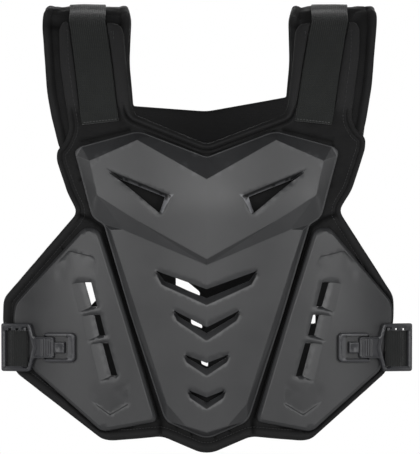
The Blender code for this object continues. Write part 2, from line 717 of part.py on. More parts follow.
def make_buckle_frame(chart, side):
    outer = both_ways([(0.0, FRAME_WIDTH / 2), (FRAME_SHOULDER, FRAME_WIDTH / 2),
                       (TONGUE_ROOT, TONGUE_HALF), (TONGUE_END, TONGUE_HALF)])
    slope = FRAME_POINT / (FRAME_WIDTH / 2)
    inner_point = FRAME_LENGTH - FRAME_WALL * math.hypot(1, slope)
    window = both_ways([(FRAME_WALL, WINDOW_HALF), (BAR_START, WINDOW_HALF)])
    point = both_ways([(BAR_END, WINDOW_HALF), (inner_point - slope * WINDOW_HALF, WINDOW_HALF),
                       (inner_point, 0.0)])
    step = RAIL_SLOPE
    creases = []
    for end in (-1, 1):
        width = end * (WINDOW_HALF - step)
        creases.append([(BAR_START, width), (BAR_END, width)])
    for shift in (0.0, step):
        creases.append([(TONGUE_ROOT + shift, TONGUE_HALF), (FRAME_LENGTH + shift, 0.0),
                        (TONGUE_ROOT + shift, -TONGUE_HALF)])
    ribs = []
    for k in range(TONGUE_RIBS):
        length = TONGUE_END - (k + 1) * RIB_PITCH
        line = chart.loop([(length, TONGUE_HALF - RAIL_WIDTH), (length, RAIL_WIDTH - TONGUE_HALF)],
                          side)
        ribs.append(Bead(line, RIB_PITCH / 3, RIB_HEIGHT))
    rise = rise_of(ribs)

    def high(point):
        length = chart.outer - chart.way_of(abs(point[0]))
        width = abs(point[1] - chart.level)
        ridge = FRAME_LENGTH - (FRAME_LENGTH - TONGUE_ROOT) * width / TONGUE_HALF
        if length > ridge:
            share = min((length - ridge) / step, 1.0)
            return (FRAME_BASE + FRAME_THICKNESS + rise(point)
                    + share * (TONGUE_THICKNESS - FRAME_THICKNESS))
        if BAR_START - NUDGE <= length <= BAR_END + NUDGE:
            share = min(max((width - WINDOW_HALF + step) / step, 0.0), 1.0)
            return FRAME_BASE + BAR_THICKNESS + share * (FRAME_THICKNESS - BAR_THICKNESS)
        return FRAME_BASE + FRAME_THICKNESS

    name = "buckle_frame_right" if side > 0 else "buckle_frame_left"
    lay_sheet(name, chart.loop(outer, side), lambda point: FRAME_BASE, high, "buckle_plastic",
              holes=[chart.loop(window, side), chart.loop(point, side)],
              reliefs=ribs, creases=[chart.loop(line, side) for line in creases])


def make_buckle_socket(chart, side):
    half = CHANNEL_HALF + RAIL_SLOPE + RAIL_WIDTH
    outline = both_ways([(SOCKET_MOUTH, half - RAIL_WIDTH / 2), (SOCKET_MOUTH + RAIL_WIDTH, half),
                         (SOCKET_END - RAIL_WIDTH, half), (SOCKET_END, half - RAIL_WIDTH)])
    creases = []
    for shift in (0.0, RAIL_SLOPE):
        stop = SOCKET_END - END_WALL + shift
        width = CHANNEL_HALF + shift
        creases.append([(SOCKET_MOUTH - RAIL_SLOPE, width), (stop, width), (stop, -width),
                        (SOCKET_MOUTH - RAIL_SLOPE, -width)])
    wall_start = SOCKET_END - END_WALL

    def high(point):
        length = chart.outer - chart.way_of(abs(point[0]))
        width = abs(point[1] - chart.level)
        past = max(length - wall_start, width - CHANNEL_HALF, 0.0)
        share = min(past / RAIL_SLOPE, 1.0)
        return SOCKET_BASE + SOCKET_FLOOR + share * (RAIL_HEIGHT - SOCKET_FLOOR)

    name = "buckle_socket_right" if side > 0 else "buckle_socket_left"
    lay_sheet(name, chart.loop(outline, side), lambda point: SOCKET_BASE, high,
              "buckle_plastic", creases=[chart.loop(line, side) for line in creases])


def make_buckle_button(chart, side):
    start = TONGUE_END + SIDE_PLAY
    outline = chart.loop(both_ways([(start, BUTTON_WIDTH / 2),
                                    (start + BUTTON_LENGTH, BUTTON_WIDTH / 2)]), side)
    top = inset(outline, BUTTON_BEVEL)

    def high(point):
        gap = distance_to(point, outline, True)
        return FRAME_BASE + BUTTON_HEIGHT - BUTTON_BEVEL * max(0.0, 1 - gap / BUTTON_BEVEL)

    name = "buckle_button_right" if side > 0 else "buckle_button_left"
    lay_sheet(name, outline, lambda point: FRAME_BASE, high, "buckle_plastic",
              creases=[top + top[:1]])


def strap_route(chart):
    """Middle line of a side strap as (way, h): round the bar, under the frame, round the side."""
    half = STRAP_THICKNESS / 2
    turn = BAR_THICKNESS / 2 + CLEARANCE + half
    bar_middle = FRAME_BASE + BAR_THICKNESS / 2
    turn_centre = BAR_END - BAR_THICKNESS / 4
    under_frame = FRAME_BASE - 2 * CLEARANCE - half
    route = [(chart.outer - turn_centre + STRAP_TAIL, bar_middle - turn),
             (chart.outer - turn_centre, bar_middle - turn)]
    for angle in (-45, 0, 45, 90):
        bend = math.radians(angle)
        route.append((chart.outer - turn_centre - turn * math.cos(bend),
                      bar_middle + turn * math.sin(bend)))
    front = route + [(chart.outer - turn_centre + STRAP_TAIL, bar_middle + turn - CLEARANCE),
                     (chart.outer - FRAME_WALL - STRAP_THICKNESS, under_frame),
                     (chart.outer + STRAP_THICKNESS, under_frame)]
    back_tip = max(row[0] for row in BACK_HEM) * VEST_WIDTH / 2
    seat = chart.way_of(back_tip, back=True)
    on_pad = BACK_FACE + CLEARANCE + half
    back = [(seat - 2 * STRAP_THICKNESS, on_pad), (seat + STRAP_SEAM, on_pad)]
    return with_stops(front, chart.stops) + with_stops(back, chart.stops)


def with_stops(route, stops):
    """The route with a point added wherever it crosses a grid column."""
    full = [route[0]]
    for a, b in zip(route, route[1:]):
        low, high = min(a[0], b[0]), max(a[0], b[0])
        crossed = [s for s in stops if low + MERGE_DISTANCE < s < high - MERGE_DISTANCE]
        if b[0] < a[0]:
            crossed.reverse()
        for stop in crossed:
            f = (stop - a[0]) / (b[0] - a[0])
            full.append((stop, a[1] + f * (b[1] - a[1])))
        full.append(b)
    return full


def make_side_strap(chart, side):
    line = strap_route(chart)
    levels = [chart.level + width for width in (STRAP_WIDTH / 2, 0.0, -STRAP_WIDTH / 2)]
    points = []
    for level in levels:
        spots = []
        for way, h in line:
            x, back = chart.chart_x(way)
            spots.append(place(side * x, -level if back else level, h))
        plan = [(spot.x, spot.y) for spot in spots]
        for d in (STRAP_THICKNESS / 2, -STRAP_THICKNESS / 2):
            edge = shifted(plan, d)
            points += [Vector((x, y, spot.z)) for (x, y), spot in zip(edge, spots)]
    count = len(line)
    row = 2 * count
    faces = []

    def quad(a, b, c, d):
        faces.extend(((a, b, c), (a, c, d)))

    last = row * (len(levels) - 1)
    for k in range(count - 1):
        quad(k, k + 1, count + k + 1, count + k)
        quad(last + count + k, last + count + k + 1, last + k + 1, last + k)
        for level in range(len(levels) - 1):
            here = level * row
            quad(here + k + 1, here + k, here + row + k, here + row + k + 1)
            quad(here + count + k, here + count + k + 1, here + row + count + k + 1,
                 here + row + count + k)
    for level in range(len(levels) - 1):
        here = level * row
        quad(here, here + count, here + row + count, here + row)
        quad(here + row - 1, here + count - 1, here + row + count - 1, here + 2 * row - 1)
    name = "side_strap_right" if side > 0 else "side_strap_left"
    make_object(name, points, faces, "strap_elastic")


def make_materials():
    for name, (colour, roughness) in MATERIALS.items():
        material = bpy.data.materials.new(name)
        material.use_nodes = True
        shader = material.node_tree.nodes["Principled BSDF"]
        shader.inputs["Base Color"].default_value = colour
        shader.inputs["Roughness"].default_value = roughness


def main():
    for thing in list(bpy.data.objects):
        bpy.data.objects.remove(thing)
    make_materials()
    make_front_pad()
    make_back_pad()
    make_chest_shell()
    make_back_shell()
    chart = BuckleChart()
    for side in (-1, 1):
        make_side_shell(side)
        make_shoulder_webbing(side)
        make_buckle_frame(chart, side)
        make_buckle_socket(chart, side)
        make_buckle_button(chart, side)
        make_side_strap(chart, side)


main()
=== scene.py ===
"""Looks of the motorcycle armour vest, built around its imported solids.

Metres, +Z up, the front faces -Y. Soft pads, webbing and moulded shells are height fields on one
curved body form, the same form that carries the solids. A place on it is a chart point (x, t) and a
height h: x across, t along the way from the front hem (negative) over the shoulder (0) down to the
back hem (positive), and h outward from the outer face of the front pad.
"""

import math

import bpy
import numpy as np
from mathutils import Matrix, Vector, noise
from mathutils.geometry import delaunay_2d_cdt


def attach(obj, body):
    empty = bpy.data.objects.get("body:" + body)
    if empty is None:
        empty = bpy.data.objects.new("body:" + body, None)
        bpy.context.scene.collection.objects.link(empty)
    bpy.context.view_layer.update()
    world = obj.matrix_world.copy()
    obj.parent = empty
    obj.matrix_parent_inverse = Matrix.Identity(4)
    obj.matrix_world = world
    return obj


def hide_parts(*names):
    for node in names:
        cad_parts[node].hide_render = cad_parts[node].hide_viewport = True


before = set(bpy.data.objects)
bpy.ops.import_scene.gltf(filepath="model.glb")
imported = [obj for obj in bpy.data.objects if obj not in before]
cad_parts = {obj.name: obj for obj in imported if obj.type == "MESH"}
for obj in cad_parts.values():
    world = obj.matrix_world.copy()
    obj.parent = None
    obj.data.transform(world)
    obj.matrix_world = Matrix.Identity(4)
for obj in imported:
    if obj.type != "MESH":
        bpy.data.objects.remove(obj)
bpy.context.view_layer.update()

# Sizes of the vest
VEST_WIDTH = 0.452
VEST_HEIGHT = 0.4955
CHEST_DEPTH = 0.222
SIDE_ROOM = 0.024
SHOULDER_RISE = 0.130
PAD_THICKNESS = 0.008
SHELL_THICKNESS = 0.0025
WEBBING_WIDTH = 0.040
WEBBING_THICKNESS = 0.002
STRAP_WIDTH = 0.038
STRAP_THICKNESS = 0.0018
CLEARANCE = 0.0003

# Relief of the pads
ROLL_MIDDLE = 0.0054
ROLL_HALF_WIDTH = 0.0056
ROLL_HEIGHT = 0.0021
PRESS_REACH = 0.0035
WELT_INSETS = (0.0046, 0.0110)
WELT_HALF_WIDTH = 0.0030
WELT_HEIGHT = 0.0030
GROOVE_HALF_WIDTH = 0.0013
GROOVE_DEPTH = 0.0013
PRESSED_DEPTH = 0.0022
SEAM_INSET = 0.0072
TONGUE_DOME = 0.0056
TONGUE_EASE = 0.0022
TONGUE_DIP = 0.0016
TONGUE_FOOT = 0.245
SHADOW_GROOVE = 0.0030
SHADOW_HALF_WIDTH = 0.0014
FOLD_HALF_WIDTH = 0.0034
FOLD_DEPTH = 0.0034
WRINKLE_HEIGHT = 0.0006
RELIEF_SPAN = 0.0062
ZONE_BLEND = 0.010

# Relief of the shells
UPPER_LIFT = 0.0095
LOWER_LIFT = 0.0055
SIDE_LIFT = 0.0032
SIDE_BEVEL = 0.0036
BACK_LIFT = 0.006
UPPER_CREST = 0.0048
LOWER_CREST = 0.0044
BACK_CREST = 0.0050
FLANGE = 0.0016
EYE_DEPTH = 0.0052
VENT_DEPTH = 0.0038
VENT_RIM = 0.010
CUT_MARGIN = 0.0014
SCOOP_DEPTH = 0.0026
SLOT_RIM = 0.0008
SCOOP_SLANT_TOP = 0.15
SCOOP_SLANT_LOW = 0.42
EMBOSS_DEPTH = 0.0011
EMBOSS_REACH = 0.024
EMBOSS_FADE = 0.010
EYE_WALL = 0.0046
# EYE_SHADE, GLINT_WIDTH and VENT_SHADE set painted shade on vent walls and a painted highlight along
# the eye vents' edges
EYE_SHADE = 1.0
GLINT_WIDTH = 0.0003
VENT_SHADE = 0.85
PAD_SLOT_ROOM = 0.0046
NECK_RADIUS = 0.002
NECK_LIFT = 0.0068
CRUMPLE_HEIGHT = 0.0022
CRUMPLE_REACH = 0.040
CREASE_ROUND = 0.0004
CREASE_SHIFTS = (-2.2, -1, 0, 1, 2.2)
SHELL_EDGE_ROUND = 0.0010
BEND_LEAST = 0.16

# Webbing and straps
WEBBING_TOP_ACROSS = 0.583
WEBBING_LEAN = 0.018
WEBBING_END_ACROSS = 0.515
WEBBING_FRONT_END = 0.266
WEBBING_BACK_END = 0.200
WEBBING_RAMP = 0.030
WEBBING_LEVEL = 0.0019
WEBBING_CROWN = 0.0004
TONGUE_TOP = 0.042
HEM_LENGTH = 0.013
WEBBING_SLANT = 0.0022
HEM_THICKNESS = 0.0008
STITCH_PITCH = 0.0034
STITCH_LENGTH = 0.0024
STITCH_RADIUS = 0.00028

# Buckles: lengths run along the body from the outer edge of the frame, widths run up and down
BUCKLE_LEVEL = 0.764
BUCKLE_REACH = 0.0068
FRAME_LENGTH = 0.0425
FRAME_WIDTH = 0.053
FRAME_POINT = 0.0075
FRAME_WALL = 0.0042
FRAME_THICKNESS = 0.0042
BAR_WIDTH = 0.0026
BAR_THICKNESS = 0.0015
TONGUE_LENGTH = 0.020
TONGUE_WIDTH = 0.0235
TONGUE_THICKNESS = 0.0030
TONGUE_RIBS = 5
RIB_PITCH = 0.0027
RIB_HEIGHT = 0.0008
MOUTH_GAP = 0.008
SOCKET_LENGTH = 0.0355
SOCKET_FLOOR = 0.0020
RAIL_WIDTH = 0.0030
RAIL_HEIGHT = 0.0054
RAIL_SLOPE = 0.0008
SIDE_PLAY = 0.0006
END_WALL = 0.0084
BUTTON_LENGTH = 0.0115
BUTTON_WIDTH = 0.0125
BUTTON_HEIGHT = 0.0042
BUTTON_BEVEL = 0.0012
STRAP_TAIL = 0.013
STRAP_SEAM = 0.045
STRAP_SAG = 0.0012
STRAP_WIDE = 0.0395
NOTCH_DEPTH = 0.0024

# Spacing of the mesh
PAD_STEP = 0.004
SHELL_STEP = 0.0036
WEBBING_STEP = 0.0035
BUCKLE_STEP = 0.0015
NUDGE = 1e-5
WAVE_SCALE = math.pi / 10

TORSO_HALF = VEST_WIDTH / 2 + SIDE_ROOM
REST_HEIGHT = 2 * PAD_THICKNESS + CLEARANCE
BACK_FACE = -PAD_THICKNESS - CLEARANCE
TOP_HEIGHT = REST_HEIGHT + BACK_FACE + CLEARANCE + WEBBING_THICKNESS
SOCKET_BASE = 2 * CLEARANCE + SIDE_LIFT + SHELL_THICKNESS
FRAME_BASE = SOCKET_BASE + SOCKET_FLOOR + CLEARANCE
FRAME_TOP = FRAME_BASE + FRAME_THICKNESS
FRAME_SHOULDER = FRAME_LENGTH - FRAME_POINT
WINDOW_HALF = FRAME_WIDTH / 2 - FRAME_WALL
BAR_START = FRAME_SHOULDER - FRAME_WALL - BAR_WIDTH - STRAP_THICKNESS
BAR_END = BAR_START + BAR_WIDTH
TONGUE_HALF = TONGUE_WIDTH / 2
TONGUE_ROOT = FRAME_LENGTH - FRAME_POINT * TONGUE_WIDTH / FRAME_WIDTH
TONGUE_END = FRAME_LENGTH + TONGUE_LENGTH
SOCKET_MOUTH = FRAME_LENGTH + MOUTH_GAP
SOCKET_END = SOCKET_MOUTH + SOCKET_LENGTH
CHANNEL_HALF = TONGUE_HALF + SIDE_PLAY

# Depth of the body form: drop is a share of VEST_HEIGHT, front and back of half CHEST_DEPTH
#              drop  front  back
DEPTH_ROWS = ((0.26, 0.98, 1.02),
              (0.45, 1.06, 1.06),
              (0.70, 1.00, 0.99),
              (1.00, 0.90, 0.97))

# Outlines of half a piece, from the centre outward and down.
# across is a share of half VEST_WIDTH, down is a share of VEST_HEIGHT.
#             across  down
FRONT_PAD_TOP = ((0.000, 0.313), (0.366, 0.242), (0.398, 0.115), (0.405, 0.060),
                 (0.425, 0.046), (0.702, 0.042), (0.724, 0.056), (0.718, 0.130),
                 (0.688, 0.230), (0.672, 0.278), (0.700, 0.310), (0.736, 0.326),
                 (0.738, 0.348), (0.682, 0.424), (0.635, 0.465))
FRONT_PAD_HEM = ((0.515, 0.969), (0.470, 0.973), (0.330, 0.968), (0.218, 0.963), (0.030, 0.999))
NECKLINE = ((0.398, 0.130), (0.366, 0.242), (0.000, 0.313))
ARM_LINE = ((0.688, 0.230), (0.672, 0.278), (0.700, 0.310), (0.736, 0.326), (0.738, 0.348),
            (0.682, 0.424), (0.635, 0.465))
FOLD_LINE = ((0.625, 0.470), (0.560, 0.482), (0.511, 0.499), (0.383, 0.690), (0.224, 0.930),
             (0.226, 0.955))
PRESSED_LINE = ((0.611, 0.306), (0.375, 0.281))

CHEST_RIM = ((0.000, 0.342), (0.310, 0.287), (0.350, 0.286), (0.618, 0.319), (0.638, 0.328),
             (0.638, 0.337), (0.560, 0.470), (0.538, 0.482), (0.500, 0.492), (0.372, 0.690),
             (0.210, 0.918), (0.190, 0.931), (0.020, 0.965))
UPPER_FACE = ((0.000, 0.394), (0.329, 0.306), (0.558, 0.352), (0.521, 0.427), (0.324, 0.483),
              (0.000, 0.5675))
LOWER_FACE = ((0.000, 0.580), (0.400, 0.502), (0.462, 0.503), (0.383, 0.615), (0.190, 0.890),
              (0.100, 0.938), (0.000, 0.952))
EYE_MOUTH = ((0.485, 0.369), (0.166, 0.429), (0.212, 0.470))
EYE_HOLE = ((0.4168, 0.3925), (0.2000, 0.4315), (0.2230, 0.4610))
EYE_TIP_LOW = (0.4560, 0.3797)
EYE_LOW = (0.2250, 0.4648)

# Chevron vents, one row each: the ends are at end_across, between end_top and end_low.
# mid_top, mid_low and lip are on the centre line, lip being the foot of the bevel below the opening.
#         end_across end_top end_low  mid_top mid_low lip
VENTS = ((0.250, 0.5937, 0.6243, 0.6340, 0.6545, 0.6698),
         (0.166, 0.6815, 0.7042, 0.7183, 0.7322, 0.7490),
         (0.113, 0.7793, 0.7960, 0.7973, 0.8113, 0.8266),
         (0.094, 0.8583, 0.8750, 0.8737, 0.8865, 0.9005))
BACK_VENTS = ((0.262, 0.5900, 0.6310, 0.6310, 0.6600, 0.6760),
              (0.178, 0.6790, 0.7110, 0.7160, 0.7380, 0.7560),
              (0.124, 0.7770, 0.8040, 0.7955, 0.8180, 0.8360))
VENT_SLOPE_IN = 0.86

# Openings of the front pad behind the chest vents: the same columns, less the lip
PAD_VENTS = ((0.235, 0.5900, 0.6160, 0.6300, 0.6580),
             (0.150, 0.6800, 0.7000, 0.7130, 0.7350),
             (0.095, 0.7780, 0.7950, 0.7940, 0.8150))

SIDE_RIM_TOP = ((0.518, 0.509), (0.545, 0.499), (0.590, 0.499), (0.610, 0.505))
SIDE_RIM_HEM = ((0.845, 0.815), (0.520, 0.948), (0.490, 0.951), (0.250, 0.930),
                (0.243, 0.920), (0.393, 0.690))

# Outer tips of the front pad and the side shells. The left ones reach further out.
PAD_TIPS = {"left": ((1.002, 0.657), (1.004, 0.714), (0.940, 0.822)),
            "right": ((0.918, 0.650), (0.922, 0.690), (0.885, 0.820))}
SHELL_TIPS = {"left": ((0.932, 0.667), (0.943, 0.708)),
              "right": ((0.896, 0.662), (0.905, 0.690))}
ROOF_LINE = ((0.720, 0.580), (0.662, 0.550), (0.545, 0.563), (0.537, 0.574))
HEART_LINE = ((0.556, 0.884), (0.466, 0.914), (0.379, 0.890), (0.381, 0.856))
# Slots of a side shell: two across values on top, two below, and where the scoop starts
#         outer  inner  down   outer  inner  down   scoop
SLOTS = ((0.5915, 0.5570, 0.620, 0.558, 0.5275, 0.674, 0.650),
         (0.5450, 0.5136, 0.692, 0.521, 0.4886, 0.738, 0.602),
         (0.5053, 0.4745, 0.755, 0.4635, 0.430, 0.8275, 0.560))

# The back pad starts as a wing on the front of the shoulder and runs over it to the back
WING_FRONT = ((0.372, 0.016), (0.390, 0.085), (0.400, 0.330), (0.700, 0.338), (0.738, 0.322),
              (0.772, 0.262), (0.802, 0.193), (0.811, 0.120), (0.817, 0.040), (0.810, 0.012))
WING_TOP_OUTER = 0.786
WING_TOP_INNER = 0.384
BACK_ARMHOLE = ((0.808, 0.012), (0.815, 0.060), (0.805, 0.150), (0.775, 0.249), (0.735, 0.340),
                (0.680, 0.422), (0.635, 0.465))
BACK_HEM = ((0.915, 0.650), (0.925, 0.680), (0.880, 0.815), (0.500, 0.945),
            (0.200, 0.940), (0.030, 0.972))
BACK_NECK = ((0.000, 0.2355), (0.371, 0.2225), (0.388, 0.120), (0.372, 0.016))
BACK_SHELL = ((0.000, 0.330), (0.300, 0.280), (0.360, 0.281), (0.590, 0.340), (0.600, 0.360),
              (0.510, 0.520), (0.220, 0.885), (0.020, 0.925))
BACK_SHELL_FACE = ((0.000, 0.380), (0.320, 0.312), (0.540, 0.362), (0.455, 0.515),
                   (0.180, 0.855), (0.000, 0.890))
# See-through cut-outs of the back pad, between upright ends.
# Across is signed: minus is on the left.
#               left     top     low     right    top     low
BACK_HOLES = ((-0.1560, 0.6008, 0.6350, -0.0350, 0.6450, 0.6550),
              (-0.0788, 0.6950, 0.7160, -0.0229, 0.7194, 0.7260),
              (-0.0277, 0.7904, 0.8060, 0.0063, 0.7970, 0.8126),
              (-0.6155, 0.6172, 0.6883, -0.5311, 0.6172, 0.6501),
              (0.5049, 0.6943, 0.7149, 0.5490, 0.6943, 0.7149))

# Folds where the pads bend over the shoulders, as lines that fade out at both ends.
# Across is signed: minus is on the left.
#                  across  down    across  down    half_width height
SHOULDER_FOLDS = ((-0.800, 0.016, -0.690, 0.022, 0.0060, 0.0024),
                  (-0.790, 0.036, -0.670, 0.044, 0.0070, -0.0028),
                  (-0.520, 0.018, -0.400, 0.016, 0.0050, 0.0020),
                  (-0.510, 0.034, -0.400, 0.036, 0.0060, -0.0024),
                  (0.395, 0.016, 0.500, 0.036, 0.0050, 0.0026),
                  (0.410, 0.034, 0.500, 0.050, 0.0060, -0.0026),
                  (0.670, 0.034, 0.770, 0.002, 0.0055, 0.0026),
                  (0.680, 0.046, 0.740, 0.030, 0.0050, -0.0024),
                  (0.704, 0.142, 0.697, 0.194, 0.0022, -0.0016))


# The right shoulder hangs further out than the left one, by a share of half VEST_WIDTH, and its
# arm corner sits further up, by a share of VEST_HEIGHT
#              down   out    up
LEAN_ROWS = ((0.000, 0.034, 0.000),
             (0.060, 0.026, 0.000),
             (0.200, 0.028, 0.010),
             (0.330, 0.044, 0.030),
             (0.430, 0.030, 0.008),
             (0.500, 0.000, 0.000))
LEAN_START = (0.330, 0.370)
LIFT_START = (0.560, 0.640)


def gap_to(points, line, closed=True):
    """Shortest distance from each chart point to a line."""
    starts = line if closed else line[:-1]
    runs = (np.roll(line, -1, axis=0) if closed else line[1:]) - starts
    lengths = np.maximum((runs ** 2).sum(axis=1), NUDGE ** 2)
    best = np.full(len(points), np.inf)
    for start, run, length in zip(starts, runs, lengths):
        offset = points - start
        share = np.clip(offset @ run / length, 0, 1)
        gap = ((offset - share[:, None] * run) ** 2).sum(axis=1)
        np.minimum(best, gap, out=best)
    return np.sqrt(best)


def within(points, loop):
    """True for each chart point that lies within a closed loop."""
    hit = np.zeros(len(points), bool)
    for a, b in zip(loop, np.roll(loop, -1, axis=0)):
        if a[1] == b[1]:
            continue
        crosses = (a[1] > points[:, 1]) != (b[1] > points[:, 1])
        limit = a[0] + (points[:, 1] - a[1]) * (b[0] - a[0]) / (b[1] - a[1])
        hit ^= crosses & (points[:, 0] < limit)
    return hit


def bell(gap, half_width):
    """1 on a line, fading smoothly to 0 at half_width beside it."""
    return 0.5 + 0.5 * np.cos(np.pi * np.clip(gap / half_width, -1, 1))


def profile_table():
    """Depth of the body form against drop, with the bends between its rows eased."""
    shares = np.linspace(0, 1.2, 481)
    window = np.hanning(49)
    window /= window.sum()
    rows = np.array(DEPTH_ROWS)
    sides = []
    for column in (1, 2):
        depth = np.interp(shares, rows[:, 0], rows[:, column])
        padded = np.pad(depth, len(window) // 2, mode="edge")
        sides.append(np.convolve(padded, window, mode="valid"))
    return shares, sides


PROFILE_SHARES, PROFILE_DEPTHS = profile_table()


def body_form(turn, t):
    """Points of the body form: turn is the angle round the torso from its front or back centre."""
    way = np.abs(t)
    arch = np.clip(way / SHOULDER_RISE, 0, 1) * math.pi / 2
    drop = np.where(way >= SHOULDER_RISE, way, SHOULDER_RISE * (1 - np.cos(arch)))
    share = np.maximum(way, SHOULDER_RISE) / VEST_HEIGHT
    front, back = (np.interp(share, PROFILE_SHARES, depth) for depth in PROFILE_DEPTHS)
    depth = CHEST_DEPTH / 2 * np.where(t < 0, front, back) * np.sin(arch)
    y = np.copysign(depth * np.cos(turn), t)
    return np.stack((TORSO_HALF * np.sin(turn), y, REST_HEIGHT - drop), axis=-1)


def place(chart, h):
    """World points of chart points at heights h."""
    turn = np.arcsin(np.clip(chart[:, 0] / TORSO_HALF, -1, 1))
    t = chart[:, 1]
    across = body_form(turn + NUDGE, t) - body_form(turn - NUDGE, t)
    along = body_form(turn, t + NUDGE) - body_form(turn, t - NUDGE)
    normal = np.cross(across, along)
    normal /= np.linalg.norm(normal, axis=1)[:, None]
    return body_form(turn, t) + np.reshape(h, (-1, 1)) * normal


def on_front(rows, side=1):
    """Chart points on the front from shares of the vest's half width and height."""
    rows = np.array(rows, float)
    drop = REST_HEIGHT - TOP_HEIGHT + rows[:, 1] * VEST_HEIGHT
    arch = np.arccos(1 - np.clip(drop / SHOULDER_RISE, 0, 1))
    way = np.where(drop >= SHOULDER_RISE, drop, SHOULDER_RISE * 2 / math.pi * arch)
    return np.stack((side * rows[:, 0] * VEST_WIDTH / 2, -way), axis=1)


def on_back(rows, side=1):
    return on_front(rows, side) * (1, -1)


def whole_loop(half):
    """Close a half outline, which runs from the centre line outward and back to it."""
    mirrored = half[::-1] * (-1, 1)
    return np.concatenate((half, mirrored[np.abs(mirrored[:, 0]) > NUDGE]))


def wing_loop(top, tips, hem):
    """A whole outline whose left and right wing tips differ."""
    right = on_front(top + tips["right"] + hem)
    left = on_front(top + tips["left"] + hem, -1)[::-1]
    return np.concatenate((right, left[np.abs(left[:, 0]) > NUDGE]))


def leaned(line):
    """A line of the pads with its part on the right shoulder moved out and up."""
    downs, outs, ups = np.array(LEAN_ROWS).T
    ways = -on_front(np.stack((downs * 0, downs), axis=1))[:, 1]
    across, way = line[:, 0] / (VEST_WIDTH / 2), np.abs(line[:, 1])
    out_share, up_share = (np.clip((across - start) / (stop - start), 0, 1)
                           for start, stop in (LEAN_START, LIFT_START))
    out = out_share * np.interp(way, ways, outs) * VEST_WIDTH / 2
    up = up_share * np.interp(way, ways, ups) * VEST_HEIGHT * (line[:, 1] < 0)
    return line + np.stack((out, up), axis=1)


def rounded(loop, radius, steps=4):
    """A closed loop with its corners rounded, each by at most half of the edges beside it."""
    radii = np.broadcast_to(radius, len(loop))
    result = []
    for before, corner, after, reach in zip(np.roll(loop, 1, axis=0), loop,
                                            np.roll(loop, -1, axis=0), radii):
        arm_in, arm_out = before - corner, after - corner
        length_in, length_out = np.hypot(*arm_in), np.hypot(*arm_out)
        cut = min(reach, 0.48 * length_in, 0.48 * length_out)
        start, stop = corner + arm_in * cut / length_in, corner + arm_out * cut / length_out
        for share in np.linspace(0, 1, steps + 1):
            result.append((1 - share) ** 2 * start + 2 * share * (1 - share) * corner
                          + share ** 2 * stop)
    return np.array(result)


def resampled(line, step, closed=True):
    """The same line with no stretch longer than step."""
    ends = np.roll(line, -1, axis=0) if closed else line[1:]
    parts = []
    for a, b in zip(line, ends):
        count = max(1, math.ceil(np.hypot(*(b - a)) / step))
        parts.append(a + (b - a) * np.arange(count)[:, None] / count)
    if not closed:
        parts.append(line[-1:])
    return np.concatenate(parts)


def moved_in(loop, distance):
    """A closed loop moved inward, or outward by a negative distance."""
    runs = np.roll(loop, -1, axis=0) - loop
    lengths = np.maximum(np.hypot(runs[:, 0], runs[:, 1]), NUDGE)[:, None]
    normals = np.stack((-runs[:, 1], runs[:, 0]), axis=1) / lengths
    mean = (normals + np.roll(normals, 1, axis=0)) / 2
    stretch = np.maximum((mean ** 2).sum(axis=1), 0.4)[:, None]
    area = (loop[:, 0] * np.roll(loop[:, 1], -1) - np.roll(loop[:, 0], -1) * loop[:, 1]).sum()
    return loop + math.copysign(distance, area) * mean / stretch


def cut_out(outline, holes, lines, step):
    """Triangles of an outline less its holes, on an even grid that keeps clear of the lines."""
    loops = [outline] + holes
    closed = [np.concatenate((loop, loop[:1])) for loop in loops]
    tracks = closed + lines
    low, high = outline.min(axis=0) - step, outline.max(axis=0) + step
    row_step = step * math.sqrt(3) / 2
    rows = np.arange(low[1], high[1], row_step)
    grid = [np.stack((np.arange(low[0] + (k % 2) * step / 2, high[0], step), ) * 2, axis=1)
            for k in range(len(rows))]
    for line, level in zip(grid, rows):
        line[:, 1] = level
    grid = np.concatenate(grid)
    grid = grid[within(grid, outline)]
    for track in tracks:
        grid = grid[gap_to(grid, track, closed=False) > step * 0.45]
    for hole in holes:
        grid = grid[~within(grid, hole)]
    points, edges = [], []
    for track in tracks:
        edges += [(len(points) + k, len(points) + k + 1) for k in range(len(track) - 1)]
        points += [Vector(p) for p in track]
    points += [Vector(p) for p in grid]
    spots, _, faces = delaunay_2d_cdt(points, edges, [], 0, NUDGE, False)[:3]
    spots, faces = np.array(spots), np.array(faces)
    centres = spots[faces].mean(axis=1)
    keep = within(centres, outline)
    for hole in holes:
        keep &= ~within(centres, hole)
    faces = faces[keep]
    a, b, c = (spots[faces[:, k]] for k in range(3))
    left = (b - a)[:, 0] * (c - a)[:, 1] - (b - a)[:, 1] * (c - a)[:, 0] > 0
    faces[~left] = faces[~left][:, ::-1]
    used, faces = np.unique(faces, return_inverse=True)
    return spots[used], faces.reshape(-1, 3)


def smoothed(height, reach=CREASE_ROUND):
    """A height function averaged over a small disk, which rounds its creases."""
    ring = [(math.cos(a), math.sin(a)) for a in np.arange(8) * math.pi / 4]
    shifts = np.array([(0, 0)] + ring) * reach

    def average(points):
        return sum(height(points + shift) for shift in shifts) / len(shifts)
    return average


def make_mesh(name, points, faces, material, chart=None, sharp=40, painted_shade_and_glint=None):
    """A closed mesh object on the root body, smooth but for its sharp edges."""
    mesh = bpy.data.meshes.new(name)
    mesh.from_pydata(points.tolist(), [], faces)
    if chart is not None:
        layer = mesh.uv_layers.new(name="chart")
        index = np.zeros(len(mesh.loops), int)
        mesh.loops.foreach_get("vertex_index", index)
        layer.data.foreach_set("uv", chart[index].ravel())
    # A per-point value for the colour: painted shade where positive, painted highlight where
    # negative.
    if painted_shade_and_glint is not None:
        shade = mesh.attributes.new("painted_shade_and_glint", "FLOAT", "POINT")
        shade.data.foreach_set("value", painted_shade_and_glint)
    mesh.shade_smooth()
    mesh.set_sharp_from_angle(angle=math.radians(sharp))
    mesh.materials.append(material)
    piece = bpy.data.objects.new(name, mesh)
    bpy.context.scene.collection.objects.link(piece)
    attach(piece, "root")
    return piece


def triangle_edges(faces):
    return np.concatenate((faces[:, :2], faces[:, 1:], faces[:, [2, 0]]))


